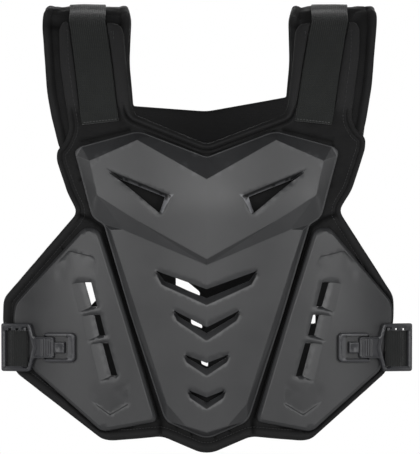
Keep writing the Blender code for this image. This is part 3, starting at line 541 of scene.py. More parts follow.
def lay_sheet(name, outline, low, high, material, step, holes=(), lines=(), edge=0.0,
              low_edge=0.0, placer=place, chart=None, painted_shade_and_glint=None):
    """A closed sheet between two heights, its edges rounded by edge outside and low_edge inside."""
    loops = [resampled(loop, step) for loop in (outline, *holes)]
    tracks = [resampled(line, step, closed=False) for line in lines]
    rim = max(edge, low_edge)
    if rim:
        for k, loop in enumerate(loops):
            for share in (0.15, 0.5, 1.0):
                ring = moved_in(loop, rim * share if k == 0 else -rim * share)
                tracks.append(np.concatenate((ring, ring[:1])))
    spots, faces = cut_out(loops[0], loops[1:], tracks, step)
    gap = np.min([gap_to(spots, loop) for loop in loops], axis=0)
    tops, bottoms = high(spots), low(spots)
    relief = tops
    if edge:
        tops = tops - edge_fall(gap, edge)
    if low_edge:
        bottoms = bottoms + edge_fall(gap, low_edge)
    points = np.concatenate((placer(spots, bottoms), placer(spots, tops)))
    count = len(spots)
    ends = triangle_edges(faces)
    rim_ends = ends[~np.isin(ends[:, 0] * count + ends[:, 1], ends[:, 1] * count + ends[:, 0])]
    solid = (faces + count).tolist() + faces[:, ::-1].tolist()
    solid += [[a, b, b + count, a + count] for a, b in rim_ends.tolist()]
    corners = points[faces + count]
    lean = np.cross(corners[:, 1] - corners[:, 0], corners[:, 2] - corners[:, 0])
    if (lean * (points[faces + count] - points[faces]).mean(axis=1)).sum() < 0:
        solid = [face[::-1] for face in solid]
    # Painted shade and painted highlight for each point of the top face, none on the bottom.
    shade = np.concatenate((np.zeros(count), painted_shade_and_glint(spots, relief))) if painted_shade_and_glint else None
    spots = chart(spots) if chart else spots
    return make_mesh(name, points, solid, material, np.concatenate((spots, spots)), painted_shade_and_glint=shade)


def edge_fall(gap, radius):
    """How far a quarter-round edge lies below its face."""
    inward = radius - np.clip(gap, 0, radius)
    return radius - np.sqrt(np.maximum(radius ** 2 - inward ** 2, 0))


def wrinkles(points, size, seed):
    """Soft random unevenness between about -1 and 1, with waves of about size."""
    return np.array([noise.noise(Vector((p[0] / size, p[1] / size, seed))) for p in points])


def fold_rise(points):
    """Height that the shoulder folds add, on the front or over the top of the shoulder."""
    total = np.zeros(len(points))
    for a0, d0, a1, d1, half_width, height in SHOULDER_FOLDS:
        line = on_front(((a0, d0), (a1, d1)))
        middle = line.mean(axis=0)
        half = np.hypot(*(line[1] - line[0])) / 2
        gap = gap_to(points, line, closed=False)
        away = np.hypot(*(points - middle).T) / (half + half_width)
        total += height * bell(gap, half_width) * np.clip(1.3 * (1 - away), 0, 1)
    return total


class Dip:
    """A sunk place inside a mouth: its floor falls from the line `top` to the line `foot`."""

    def __init__(self, mouth, top, foot, hole, depth, shade=0.0, wall=None):
        self.mouth, self.top, self.foot, self.hole = mouth, top, foot, hole
        self.depth, self.shade, self.wall = depth, shade, wall

    def share(self, points):
        """How far down the floor is: 0 at its top line, 1 at its foot and in the hole."""
        to_top = gap_to(points, self.top, closed=False)
        if self.wall:
            share = np.clip(to_top / self.wall, 0, 1)
        else:
            to_foot = gap_to(points, self.foot, closed=False)
            share = to_top / np.maximum(to_foot + to_top, NUDGE)
            share = np.where(within(points, self.hole), 1, share)
        return np.where(within(points, self.mouth), share, 0)

    def dark(self, points):
        """Painted shade on the walls, and below 0 a painted highlight where an edge or a wall would
        catch light.
        """
        to_top = gap_to(points, self.top, closed=False)
        if not self.wall:
            share = self.share(points)
            # Chevron vents get painted shade on their walls, strongest towards their ends.
            middle = np.clip(np.abs(points[:, 0]) / self.mouth[:, 0].max(), 0.35, 1)
            return self.shade * middle * np.clip(np.minimum(8 * share, 10 * (1 - share)), 0, 1)
        dark = self.shade * within(points, moved_in(self.mouth, -CREASE_ROUND))
        dark *= np.clip(8 * to_top / self.wall, 0, 1)
        # A painted highlight along the hole's edge and on the eye's inner end wall.
        edge = gap_to(points, self.hole, closed=True) < GLINT_WIDTH
        end = gap_to(points, self.top[1:], closed=False) <= gap_to(points, self.top[:2], closed=False)
        inside = within(points, self.mouth)
        return np.where((edge | end) & inside, -0.9, dark)

    def creases(self):
        sides = [moved_in(self.mouth, shift * CREASE_ROUND) for shift in CREASE_SHIFTS]
        return [closed_line(side) for side in sides] + [self.top, self.foot]


def eye_dip(side):
    """A pointed vent of the chest: a wall under its upper edge and one at its inner end."""
    tip, upper, lower = on_front(EYE_MOUTH, side)
    hole = on_front(EYE_HOLE, side)
    cut = on_front((EYE_TIP_LOW, EYE_LOW), side)
    lift = (0, CUT_MARGIN)
    mouth = np.array((tip, upper, lower + lift, cut[0] + lift))
    return Dip(mouth, np.array((tip, upper, lower)), hole,
               rounded(np.array((cut[0], hole[0], hole[1], cut[1])), 0.0003, 2), EYE_DEPTH,
               EYE_SHADE, EYE_WALL)


def chevron(end, end_top, end_low, mid_top, foot, on_side=on_front):
    """A chevron-shaped loop from the columns of VENTS."""
    return whole_loop(on_side(((0, mid_top), (end, end_top), (end * VENT_SLOPE_IN, end_low),
                               (0, foot))))


def chevron_dip(row, on_side=on_front):
    """A chevron vent: cut under its upper edge, with walls at its ends and a bevel below."""
    end, end_top, end_low, mid_top, mid_low, lip = row
    foot_end = end_low - (lip - mid_low) / 2
    inner = end * VENT_SLOPE_IN
    fall = CUT_MARGIN / VEST_HEIGHT
    mouth = chevron(end, end_top + fall, end_low, mid_top + fall, lip, on_side)
    near = end - VENT_RIM
    hole = whole_loop(on_side(((0, mid_top), (near, end_top), (inner - VENT_RIM, foot_end),
                               (0, mid_low))))
    top = on_side(((-end, end_top), (-inner, end_low), (0, lip), (inner, end_low), (end, end_top)))
    foot = on_side(((-near, end_top), (VENT_RIM - inner, foot_end), (0, mid_low),
                    (inner - VENT_RIM, foot_end), (near, end_top)))
    return Dip(mouth, top, foot, rounded(hole, 0.0003, 2), VENT_DEPTH, VENT_SHADE)


def slot_hole(row, side, room=0.0):
    """A slot's opening, with room added on its outer side."""
    outer, inner, top, outer_low, inner_low, low, _ = row
    loop = on_front(((outer, top), (inner, top), (inner_low, low), (outer_low, low)), side)
    return loop + np.array(((1, 0), (0, 0), (0, 0), (1, 0))) * side * room


def slot_dip(row, side):
    """A louvre of a side shell: its floor ramps in from the scoop's start to the slot."""
    hole = slot_hole(row, side)
    start = on_front(((row[6], row[2]), ), side)[0, 0]
    run = hole[3, 0] - hole[0, 0]
    reach = abs(start - hole[0, 0])
    rim = np.array((0, SLOT_RIM))
    shrink = np.array((side * CUT_MARGIN, 0))
    top = np.array(((start, hole[0, 1] - SCOOP_SLANT_TOP * reach),
                    (start + run, hole[3, 1] - SCOOP_SLANT_LOW * reach)))
    mouth = np.array((top[0] + rim, hole[0] + rim, hole[1] + rim + shrink,
                      hole[2] - rim + shrink, hole[3] - rim, top[1] - rim))
    return Dip(mouth, top, hole[[0, 3]], rounded(hole, 0.0004, 2), SCOOP_DEPTH)


def back_holes():
    loops = []
    for left, left_top, left_low, right, right_top, right_low in BACK_HOLES:
        corners = ((left, left_top), (right, right_top), (right, right_low), (left, left_low))
        loops.append(rounded(on_back(corners), 0.002, 2))
    return loops


def closed_line(loop):
    return np.concatenate((loop, loop[:1]))


class Facets:
    """A lift over flat facets, which span loops and lines of corners at given lifts."""

    def __init__(self, loops, lines=()):
        points, edges, lifts = [], [], []
        for line, lift in [(closed_line(loop), lift) for loop, lift in loops] + list(lines):
            edges += [(len(points) + k, len(points) + k + 1) for k in range(len(line) - 1)]
            points += [Vector(p) for p in line]
            lifts += ([lift(p) for p in line] if callable(lift)
                      else np.broadcast_to(lift, len(line)).tolist())
        spots, _, faces, origins = delaunay_2d_cdt(points, edges, [], 0, NUDGE)[:4]
        self.spots, self.faces = np.array(spots), np.array(faces)
        self.lifts = np.array([lifts[min(origin)] if origin else 0.0 for origin in origins])

    def rise(self, points):
        lift = np.zeros(len(points))
        for face in self.faces:
            corner, arm_b, arm_c = self.spots[face]
            arm_b, arm_c = arm_b - corner, arm_c - corner
            area = arm_b[0] * arm_c[1] - arm_b[1] * arm_c[0]
            if abs(area) < NUDGE ** 2:
                continue
            way = points - corner
            b = (way[:, 0] * arm_c[1] - way[:, 1] * arm_c[0]) / area
            c = (arm_b[0] * way[:, 1] - arm_b[1] * way[:, 0]) / area
            inside = (b >= -NUDGE) & (c >= -NUDGE) & (b + c <= 1 + NUDGE)
            start, lift_b, lift_c = self.lifts[face]
            lift[inside] = (start + b * (lift_b - start) + c * (lift_c - start))[inside]
        return lift

    def creases(self):
        """Lines on and beside each edge where the slope changes clearly."""
        slopes, sides = [], {}
        for index, face in enumerate(self.faces):
            spots = np.column_stack((self.spots[face], np.ones(3)))
            flat = abs(np.linalg.det(spots)) < NUDGE ** 2
            slopes.append(np.zeros(2) if flat else np.linalg.solve(spots, self.lifts[face])[:2])
            for edge in triangle_edges(face[None]):
                sides.setdefault(tuple(sorted(edge.tolist())), []).append(index)
        lines = []
        for (a, b), shared in sides.items():
            line = self.spots[[a, b]]
            run = line[1] - line[0]
            if len(shared) < 2 or np.hypot(*run) < 4 * CREASE_ROUND:
                continue
            if np.hypot(*(slopes[shared[0]] - slopes[shared[1]])) < BEND_LEAST:
                continue
            across = np.array((-run[1], run[0])) / np.hypot(*run)
            for shift in CREASE_SHIFTS:
                lines.append(line + shift * CREASE_ROUND * across)
        return lines


def pressed_panel(points, line, loop):
    """A panel pressed in along a crisp line, which fades out away from it."""
    to_ends = [np.hypot(*(points - end).T) for end in line[[0, -1]]]
    ends = np.clip(np.minimum(*to_ends) / EMBOSS_FADE, 0, 1)
    fade = np.clip(1 - gap_to(points, line, closed=False) / EMBOSS_REACH, 0, 1) ** 1.6
    return -EMBOSS_DEPTH * ends * fade * within(points, loop)


def roll_rise(gap, press):
    """A soft roll along a pad's edge, and the stitched groove inside it."""
    rise = ROLL_HEIGHT * bell(gap - ROLL_MIDDLE, ROLL_HALF_WIDTH)
    groove = ROLL_MIDDLE + ROLL_HALF_WIDTH
    return (rise - GROOVE_DEPTH * bell(gap - groove, 2 * GROOVE_HALF_WIDTH)) * press


def nearer(gap, rest, blend=ZONE_BLEND):
    """1 where gap is the smaller of two distances, 0 where it is the larger."""
    return np.clip(0.5 + (rest - gap) / blend, 0, 1)


def shell_outlines():
    loops = [rounded(whole_loop(on_front(CHEST_RIM)), 0.004)]
    for side, word in ((-1, "left"), (1, "right")):
        loops.append(rounded(on_front(SIDE_RIM_TOP + SHELL_TIPS[word] + SIDE_RIM_HEM, side), 0.006))
    return loops


def wear_and_painted_light(level):
    """Painted light on a pad's cover: 0 for a painted highlight on its ridges, a half on its face, 1
    for painted shade in its seams and folds.
    """
    return lambda _, heights: np.clip(0.5 - (heights - level) / RELIEF_SPAN, 0, 1)


def make_front_pad(fabric, thread):
    outline = rounded(leaned(wing_loop(FRONT_PAD_TOP, PAD_TIPS, FRONT_PAD_HEM)), 0.007)
    neck = on_front(NECKLINE)
    neck = leaned(np.concatenate((neck, neck[-2::-1] * (-1, 1))))
    tapes = [webbing_stops(side) for side in (-1, 1)]
    arms = [leaned(on_front(ARM_LINE, side)) for side in (-1, 1)]
    folds = [on_front(FOLD_LINE, side) for side in (-1, 1)]
    pressed = [on_front(PRESSED_LINE, side) for side in (-1, 1)]
    shells = shell_outlines()
    holes = [rounded(chevron(*row), 0.002, 2) for row in PAD_VENTS]
    holes += [slot_hole(row, side, PAD_SLOT_ROOM) for side in (-1, 1) for row in SLOTS]
    tongue_foot = on_front(((0, TONGUE_FOOT), ))[0, 1]

    def high(points):
        rim = gap_to(points, outline)
        neck_gap = gap_to(points, neck, closed=False)
        arm_gap = np.min([gap_to(points, arm, closed=False) for arm in arms], axis=0)
        shell_gap = np.min([np.where(within(points, shell), 0, gap_to(points, shell))
                            for shell in shells], axis=0)
        press = np.clip(shell_gap / PRESS_REACH, 0, 1)
        at_neck = nearer(neck_gap, rim + ZONE_BLEND / 2)
        at_arm = nearer(arm_gap, rim + ZONE_BLEND / 2)
        welts = sum(WELT_HEIGHT * bell(rim - inset, WELT_HALF_WIDTH) for inset in WELT_INSETS)
        valley = sum(WELT_INSETS) / 2
        welts -= 1.5 * GROOVE_DEPTH * bell(rim - valley, GROOVE_HALF_WIDTH)
        seam = ROLL_HEIGHT * bell(rim - SEAM_INSET / 2, SEAM_INSET / 2)
        seam += WELT_HEIGHT / 2 * bell(rim - SEAM_INSET - GROOVE_HALF_WIDTH, GROOVE_HALF_WIDTH)
        seam -= GROOVE_DEPTH * bell(rim - SEAM_INSET, GROOVE_HALF_WIDTH)
        tape_gap = np.min([gap_to(points, tape, closed=False) for tape in tapes], axis=0)
        beside = np.maximum(tape_gap - WEBBING_WIDTH / 2, 0)
        across = rim / np.maximum(rim + beside, NUDGE)
        dome = TONGUE_DOME * np.sqrt(4 * across * (1 - across))
        dome -= TONGUE_DIP * bell(beside, TONGUE_EASE)
        at_tongue = np.clip((points[:, 1] - tongue_foot) / ZONE_BLEND, 0, 1)
        h = at_neck * welts * press
        h += (1 - at_neck) * at_arm * seam * press
        h += (1 - at_neck) * (1 - at_arm) * roll_rise(rim, press)
        h += at_tongue * (dome - h)
        h -= SHADOW_GROOVE * bell(shell_gap - SHADOW_HALF_WIDTH, SHADOW_HALF_WIDTH)
        for line in folds:
            h -= FOLD_DEPTH * bell(gap_to(points, line, closed=False), FOLD_HALF_WIDTH)
        for line in pressed:
            h -= PRESSED_DEPTH * bell(gap_to(points, line, closed=False), 2 * GROOVE_HALF_WIDTH)
        h += WRINKLE_HEIGHT * (wrinkles(points, 0.022, 3) + 0.5 * wrinkles(points, 0.009, 5))
        return np.where(shell_gap > 0, h, np.minimum(h, 0))

    def low(points):
        return -PAD_THICKNESS + WRINKLE_HEIGHT * wrinkles(points, 0.03, 8)

    tracks = [closed_line(moved_in(outline, inset)) for inset in (0.0052, 0.0066, 0.0080, 0.0095,
                                                                 0.0110, 0.0125)]
    tracks += [line + (side * shift, 0) for side, line in zip((-1, 1), folds)
               for shift in (-0.0015, 0, 0.0015)]
    tracks += [line + (0, shift) for line in pressed for shift in (-0.0012, 0, 0.0012)]
    tracks += [closed_line(moved_in(shell, -share * SHADOW_HALF_WIDTH)) for shell in shells
               for share in (0, 1, 2)]
    tracks += [np.stack((tape[:, 0] + way * (WEBBING_WIDTH / 2 + shift), tape[:, 1]), axis=1)[:2]
               for tape in tapes for way in (-1, 1) for shift in (0, TONGUE_EASE)]
    # The cover gets a painted highlight on its ridges and painted shade in its seams and folds.
    pad = lay_sheet("front_pad_foam", outline, low, high, fabric, PAD_STEP, holes=holes,
                    lines=tracks, edge=PAD_THICKNESS / 2 - 0.0001,
                    low_edge=PAD_THICKNESS / 2 - 0.0001, painted_shade_and_glint=wear_and_painted_light(0))
    finish_pad("front_pad")
    seam = closed_line(moved_in(outline, ROLL_MIDDLE + ROLL_HALF_WIDTH))
    seam = [line for line in stitch_runs(seam)
            if not any(within(line, grown).any() for grown in (moved_in(shell, -0.0025)
                                                               for shell in shells))
            and gap_to(line, neck, closed=False).min() > 0.02]
    make_stitches("front_pad_stitches", seam, high, thread)


def make_back_pad(fabric, thread):
    top_outer = WING_TOP_OUTER * VEST_WIDTH / 2
    top_inner = WING_TOP_INNER * VEST_WIDTH / 2
    half = np.concatenate((on_back(BACK_NECK), [(top_inner, 0)], on_front(WING_FRONT),
                           [(top_outer, 0)], on_back(BACK_ARMHOLE + BACK_HEM)))
    loop = leaned(whole_loop(half))
    crisp = np.abs(loop[:, 1] - on_back(BACK_NECK)[1, 1]) < NUDGE
    loop[crisp & (loop[:, 0] > 0), 1] -= NECK_LIFT
    outline = rounded(loop, np.where(crisp, NECK_RADIUS, 0.008))
    shell = rounded(whole_loop(on_back(BACK_SHELL)), 0.006)

    def high(points):
        rim = gap_to(points, outline)
        shell_gap = np.where(within(points, shell), 0, gap_to(points, shell))
        under = (points[:, 1] < -0.045) & (gap_to(points, outline) > 0.016)
        press = np.clip(shell_gap / PRESS_REACH, 0, 1)
        top = np.clip(1 - np.abs(points[:, 1]) / CRUMPLE_REACH, 0, 1)
        h = roll_rise(rim, press * (1 - 0.8 * top)) + fold_rise(points)
        h += (WRINKLE_HEIGHT + CRUMPLE_HEIGHT * top) * wrinkles(points, 0.012, 12)
        h += WRINKLE_HEIGHT * wrinkles(points, 0.024, 11)
        h = np.where((shell_gap > 0) & ~under, h, np.minimum(h, 0))
        return BACK_FACE + h

    def low(points):
        return BACK_FACE - PAD_THICKNESS + WRINKLE_HEIGHT * wrinkles(points, 0.03, 14)

    tracks = [closed_line(moved_in(outline, inset)) for inset in (0.0055, 0.0070, 0.0085, 0.0100,
                                                                 0.0110, 0.0125)]
    # The cover gets a painted highlight on its ridges and painted shade in its seams and folds.
    pad = lay_sheet("back_pad_foam", outline, low, high, fabric, PAD_STEP, holes=back_holes(),
                    lines=tracks, edge=PAD_THICKNESS / 2 - 0.0001,
                    low_edge=PAD_THICKNESS / 2 - 0.0001, painted_shade_and_glint=wear_and_painted_light(BACK_FACE))
    finish_pad("back_pad")
    seam = closed_line(moved_in(outline, ROLL_MIDDLE + ROLL_HALF_WIDTH))
    seam = [line for line in stitch_runs(seam) if (line[:, 1] > 0.02).all()]
    make_stitches("back_pad_stitches", seam, high, thread)


def finish_pad(node):
    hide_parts(node)


def mould_shell(name, outline, facets, dips, base, plastic, reliefs=(), lines=()):
    """A thin shell from facets, sunk places and pressed panels, with vents cut through."""
    def raw(points):
        h = base + facets.rise(points)
        for dip in dips:
            h -= dip.depth * dip.share(points)
        for relief in reliefs:
            h += relief(points)
        return h

    # Painted shade on the walls of the eye and chevron vents and a painted highlight on the eye
    # vents' edges, summed over the vents.
    def painted_shade_and_glint(points, _):
        return np.sum([dip.dark(points) for dip in dips], axis=0)

    low = smoothed(raw)
    lines = list(lines) + facets.creases()
    for dip in dips:
        lines += dip.creases()
    shell = lay_sheet(f"{name}_moulding", outline, low, lambda p: low(p) + SHELL_THICKNESS,
                      plastic, SHELL_STEP, holes=[dip.hole for dip in dips], lines=lines,
                      edge=SHELL_EDGE_ROUND, painted_shade_and_glint=painted_shade_and_glint)
    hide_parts(name)


def crested(lift, crest, half_width):
    """Lift of a face's corners: a ridge on the centre line between two flat halves."""
    def at(point):
        return lift + crest * max(0, 1 - abs(point[0]) / half_width)
    return at


def struts(face, rim, at, count=6):
    """Lines that rule the bevels between a face's corners and the rim."""
    nearest = [np.hypot(*(rim - corner).T).argmin() for corner in face]
    lines = []
    for k, (first, last) in enumerate(zip(nearest, nearest[1:])):
        way = (last - first + len(rim) // 2) % len(rim) - len(rim) // 2
        track = rim[(first + np.arange(abs(way) + 1) * (1 if way > 0 else -1)) % len(rim)]
        gone = np.concatenate(([0], np.cumsum(np.hypot(*np.diff(track, axis=0).T))))
        for share in np.arange(count + 1) / count:
            end = [np.interp(share * gone[-1], gone, track[:, axis]) for axis in (0, 1)]
            corner = face[k] + share * (face[k + 1] - face[k])
            lift = at(face[k]) + share * (at(face[k + 1]) - at(face[k]))
            lines.append((np.array((corner, end)), (lift, 0.0)))
    return lines


def centre_lines(line):
    """Lines on and beside a crest on the centre line."""
    return [line + (shift * CREASE_ROUND, 0) for shift in CREASE_SHIFTS]


def make_chest_shell(plastic):
    outline = shell_outlines()[0]
    rim = moved_in(outline, FLANGE)
    upper = whole_loop(on_front(UPPER_FACE))
    lower = whole_loop(on_front(LOWER_FACE))
    upper_at = crested(UPPER_LIFT, UPPER_CREST, upper[:, 0].max())
    lower_at = crested(LOWER_LIFT, LOWER_CREST, lower[:, 0].max())
    facets = Facets([(outline, 0.0), (rim, 0.0), (upper, upper_at), (lower, lower_at)],
                    [(upper[[0, 5]], upper_at), (lower[[0, 6]], lower_at)]
                    + struts(upper[[0, 1, 2, 3]], rim, upper_at)
                    + struts(upper[[0, -1, -2, -3]], rim, upper_at))
    dips = [eye_dip(side) for side in (-1, 1)] + [chevron_dip(row) for row in VENTS]
    mould_shell("chest_shell", outline, facets, dips, CLEARANCE, plastic,
                lines=centre_lines(upper[[0, 5]]) + centre_lines(lower[[0, 6]]))


def make_side_shell(plastic, side):
    word = "right" if side > 0 else "left"
    corners = on_front(SIDE_RIM_TOP + SHELL_TIPS[word] + SIDE_RIM_HEM, side)
    outline = rounded(corners, 0.006)
    face = moved_in(rounded(corners, 0.009), SIDE_BEVEL)
    roof = on_front(ROOF_LINE, side)
    roof_loop = np.concatenate((roof, roof[::-1] - (0, EMBOSS_REACH)))
    heart = on_front(HEART_LINE, side)
    heart_loop = np.concatenate((heart, heart[::-1] + (0, EMBOSS_REACH)))
    reliefs = [lambda points: pressed_panel(points, roof, roof_loop),
               lambda points: pressed_panel(points, heart, heart_loop)]
    lines = [line + (0, shift * CREASE_ROUND) for line in (roof, heart) for shift in CREASE_SHIFTS]
    facets = Facets([(outline, 0.0), (face, SIDE_LIFT)])
    mould_shell(f"side_shell_{word}", outline, facets, [slot_dip(row, side) for row in SLOTS],
                CLEARANCE, plastic, reliefs, lines)


def make_back_shell(plastic):
    outline = rounded(whole_loop(on_back(BACK_SHELL)), 0.006)
    rim = moved_in(outline, FLANGE)
    face = whole_loop(on_back(BACK_SHELL_FACE))
    at = crested(BACK_LIFT, BACK_CREST, face[:, 0].max())
    facets = Facets([(outline, 0.0), (rim, 0.0), (face, at)], [(face[[0, 5]], at)])
    dips = [chevron_dip(row, on_back) for row in BACK_VENTS]
    mould_shell("back_shell", outline, facets, dips, BACK_FACE + CLEARANCE, plastic,
                lines=centre_lines(face[[0, 5]]))


def stitch_runs(line):
    """Pairs of chart points, one pair for each stitch along a line."""
    lengths = np.concatenate(([0], np.cumsum(np.hypot(*np.diff(line, axis=0).T))))
    starts = np.arange(0, lengths[-1] - STITCH_LENGTH, STITCH_PITCH)
    return [np.stack([np.interp((at, at + STITCH_LENGTH), lengths, line[:, k]) for k in (0, 1)],
                     axis=1) for at in starts]


def make_stitches(name, runs, height, thread):
    """Short rounded stitches that lie in the surface, joined into one mesh."""
    rings = ((0.0, 0.35), (0.15, 1.0), (0.85, 1.0), (1.0, 0.35))
    angles = np.arange(6) * math.pi / 3
    points, faces = [], []
    spots = np.concatenate(runs)
    ends = place(spots, height(spots) + STITCH_RADIUS / 3)
    lifts = place(spots, np.full(len(spots), 0.001)) - place(spots, np.zeros(len(spots)))
    for a, b, lift in zip(ends[::2], ends[1::2], lifts[::2]):
        along = (b - a) / np.linalg.norm(b - a)
        out = lift - along * (lift @ along)
        out /= np.linalg.norm(out)
        side = np.cross(along, out)
        first = len(points)
        for share, width in rings:
            for angle in angles:
                points.append(a + share * (b - a) + STITCH_RADIUS * width
                              * (math.cos(angle) * side + math.sin(angle) * out))
        count = len(angles)
        faces += [[first + k for k in range(count)][::-1]]
        faces += [[first + len(rings) * count - count + k for k in range(count)]]
        for ring in range(len(rings) - 1):
            here = first + ring * count
            faces += [[here + k, here + (k + 1) % count, here + count + (k + 1) % count,
                       here + count + k] for k in range(count)]
    piece = make_mesh(name, np.array(points), faces, thread)


def webbing_stops(side):
    """Middle line of a webbing: its front end, its two bends and its seam on the back."""
    across = WEBBING_TOP_ACROSS + max(side, 0) * WEBBING_LEAN
    end = on_front(((WEBBING_END_ACROSS, WEBBING_FRONT_END), ))[0]
    bend = on_front(((across, TONGUE_TOP), ))[0]
    seam = on_back(((across, WEBBING_BACK_END), ))[0]
    return np.array((end, bend, bend + (0, WEBBING_RAMP), seam)) * (side, 1)


def make_webbing(side, woven, thread):
    half = WEBBING_WIDTH / 2
    stops = webbing_stops(side) * (side, 1)
    end, bend = stops[:2]
    slant = np.array(((0, WEBBING_SLANT), (0, 0), (0, 0), (0, 0)))
    outline = np.concatenate((stops + (half, 0) - slant, (stops - (half, 0) + slant)[::-1]))
    outline = outline * (side, 1)
    wing_level = BACK_FACE + CLEARANCE
    word = "right" if side > 0 else "left"

    def ribbon(points):
        """Across and along the webbing."""
        across = side * points[:, 0] - np.interp(points[:, 1], stops[:, 1], stops[:, 0])
        slope = WEBBING_SLANT / half * np.clip(1 - (points[:, 1] - end[1]) / WEBBING_RAMP, 0, 1)
        return np.stack((across, points[:, 1] + across * slope), axis=1)

    def low(points):
        share = np.clip((points[:, 1] - bend[1]) / WEBBING_RAMP, 0, 1)
        share = share * share * (3 - 2 * share)
        return WEBBING_LEVEL + share * (wing_level + 0.0006 - WEBBING_LEVEL)

    def high(points):
        across, along = ribbon(points).T
        crown = WEBBING_CROWN * (1 - (across / half) ** 2)
        wave = 0.0003 * wrinkles(points, 0.018, 21)
        hem = HEM_THICKNESS * np.clip((end[1] + HEM_LENGTH - along) / 0.0008, 0, 1)
        return low(points) + WEBBING_THICKNESS - WEBBING_CROWN + crown + wave + hem

    lines = []
    for along in (HEM_LENGTH, HEM_LENGTH + 0.0008):
        lines.append(across_webbing(stops, along, half) * (side, 1))
    piece = lay_sheet(f"webbing_{word}", outline, low, high, woven, WEBBING_STEP, lines=lines,
                      edge=0.0008, low_edge=0.0005, chart=ribbon)
    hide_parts(f"shoulder_webbing_{word}")
    track = resampled(stops, WEBBING_STEP, closed=False)
    steps = np.diff(place(track, low(track)), axis=0)
    runs = []
    runs += stitch_runs(across_webbing(stops, 0.002, half - 0.0015) * (side, 1))
    for inset in (-half + 0.0025, half - 0.0025):
        line = np.array((stops[3] - (0, 0.004), stops[3] - (0, 0.034))) + (inset, 0)
        runs += stitch_runs(line * (side, 1))
    for along in (0.004, 0.034):
        line = np.array((stops[3] - (half - 0.0025, along), stops[3] + (half - 0.0025, -along)))
        runs += stitch_runs(line * (side, 1))
    make_stitches(f"webbing_stitches_{word}", runs, high, thread)


def across_webbing(stops, along, half):
    """A line across the front end of a webbing, square to its slanted edges."""
    level = stops[0, 1] + along
    middle = np.interp(level, stops[:, 1], stops[:, 0])
    slant = WEBBING_SLANT * half / (WEBBING_WIDTH / 2)
    return np.array(((middle - half, level + slant), (middle + half, level - slant)))


def ways_round():
    """Turns from the front centre to the back centre, and the way to each at the buckles' level."""
    level = on_front(((0, BUCKLE_LEVEL), ))[0, 1]
    turns = np.linspace(0, math.pi, 721)
    chart = np.stack((TORSO_HALF * np.sin(turns), np.where(turns <= math.pi / 2, level, -level)),
                     axis=1)
    spots = place(chart, np.zeros(len(turns)))
    steps = np.linalg.norm(np.diff(spots, axis=0), axis=1)
    return level, turns, np.concatenate(([0], np.cumsum(steps)))


BUCKLE_T, TURNS, WAYS = ways_round()


def way_of(x, back=False):
    turn = math.asin(x / TORSO_HALF)
    return float(np.interp(math.pi - turn if back else turn, TURNS, WAYS))


OUTER_WAY = way_of(VEST_WIDTH / 2 - BUCKLE_REACH)


def buckle_placer(side):
    """World points from lengths and widths on a buckle."""
    def placer(spots, h):
        turn = np.interp(OUTER_WAY - spots[:, 0], WAYS, TURNS)
        chart = np.stack((side * TORSO_HALF * np.sin(turn), BUCKLE_T + spots[:, 1]), axis=1)
        return place(chart, h)
    return placer


def both_ways(half):
    """Close a buckle outline that is given for widths above its middle line."""
    half = np.array(half, float)
    return np.concatenate((half, half[::-1][half[::-1, 1] > NUDGE] * (1, -1)))


def ramp(value, start, width=RAIL_SLOPE):
    """0 before start, 1 after start + width, eased between."""
    share = np.clip((value - start) / width, 0, 1)
    return share * share * (3 - 2 * share)


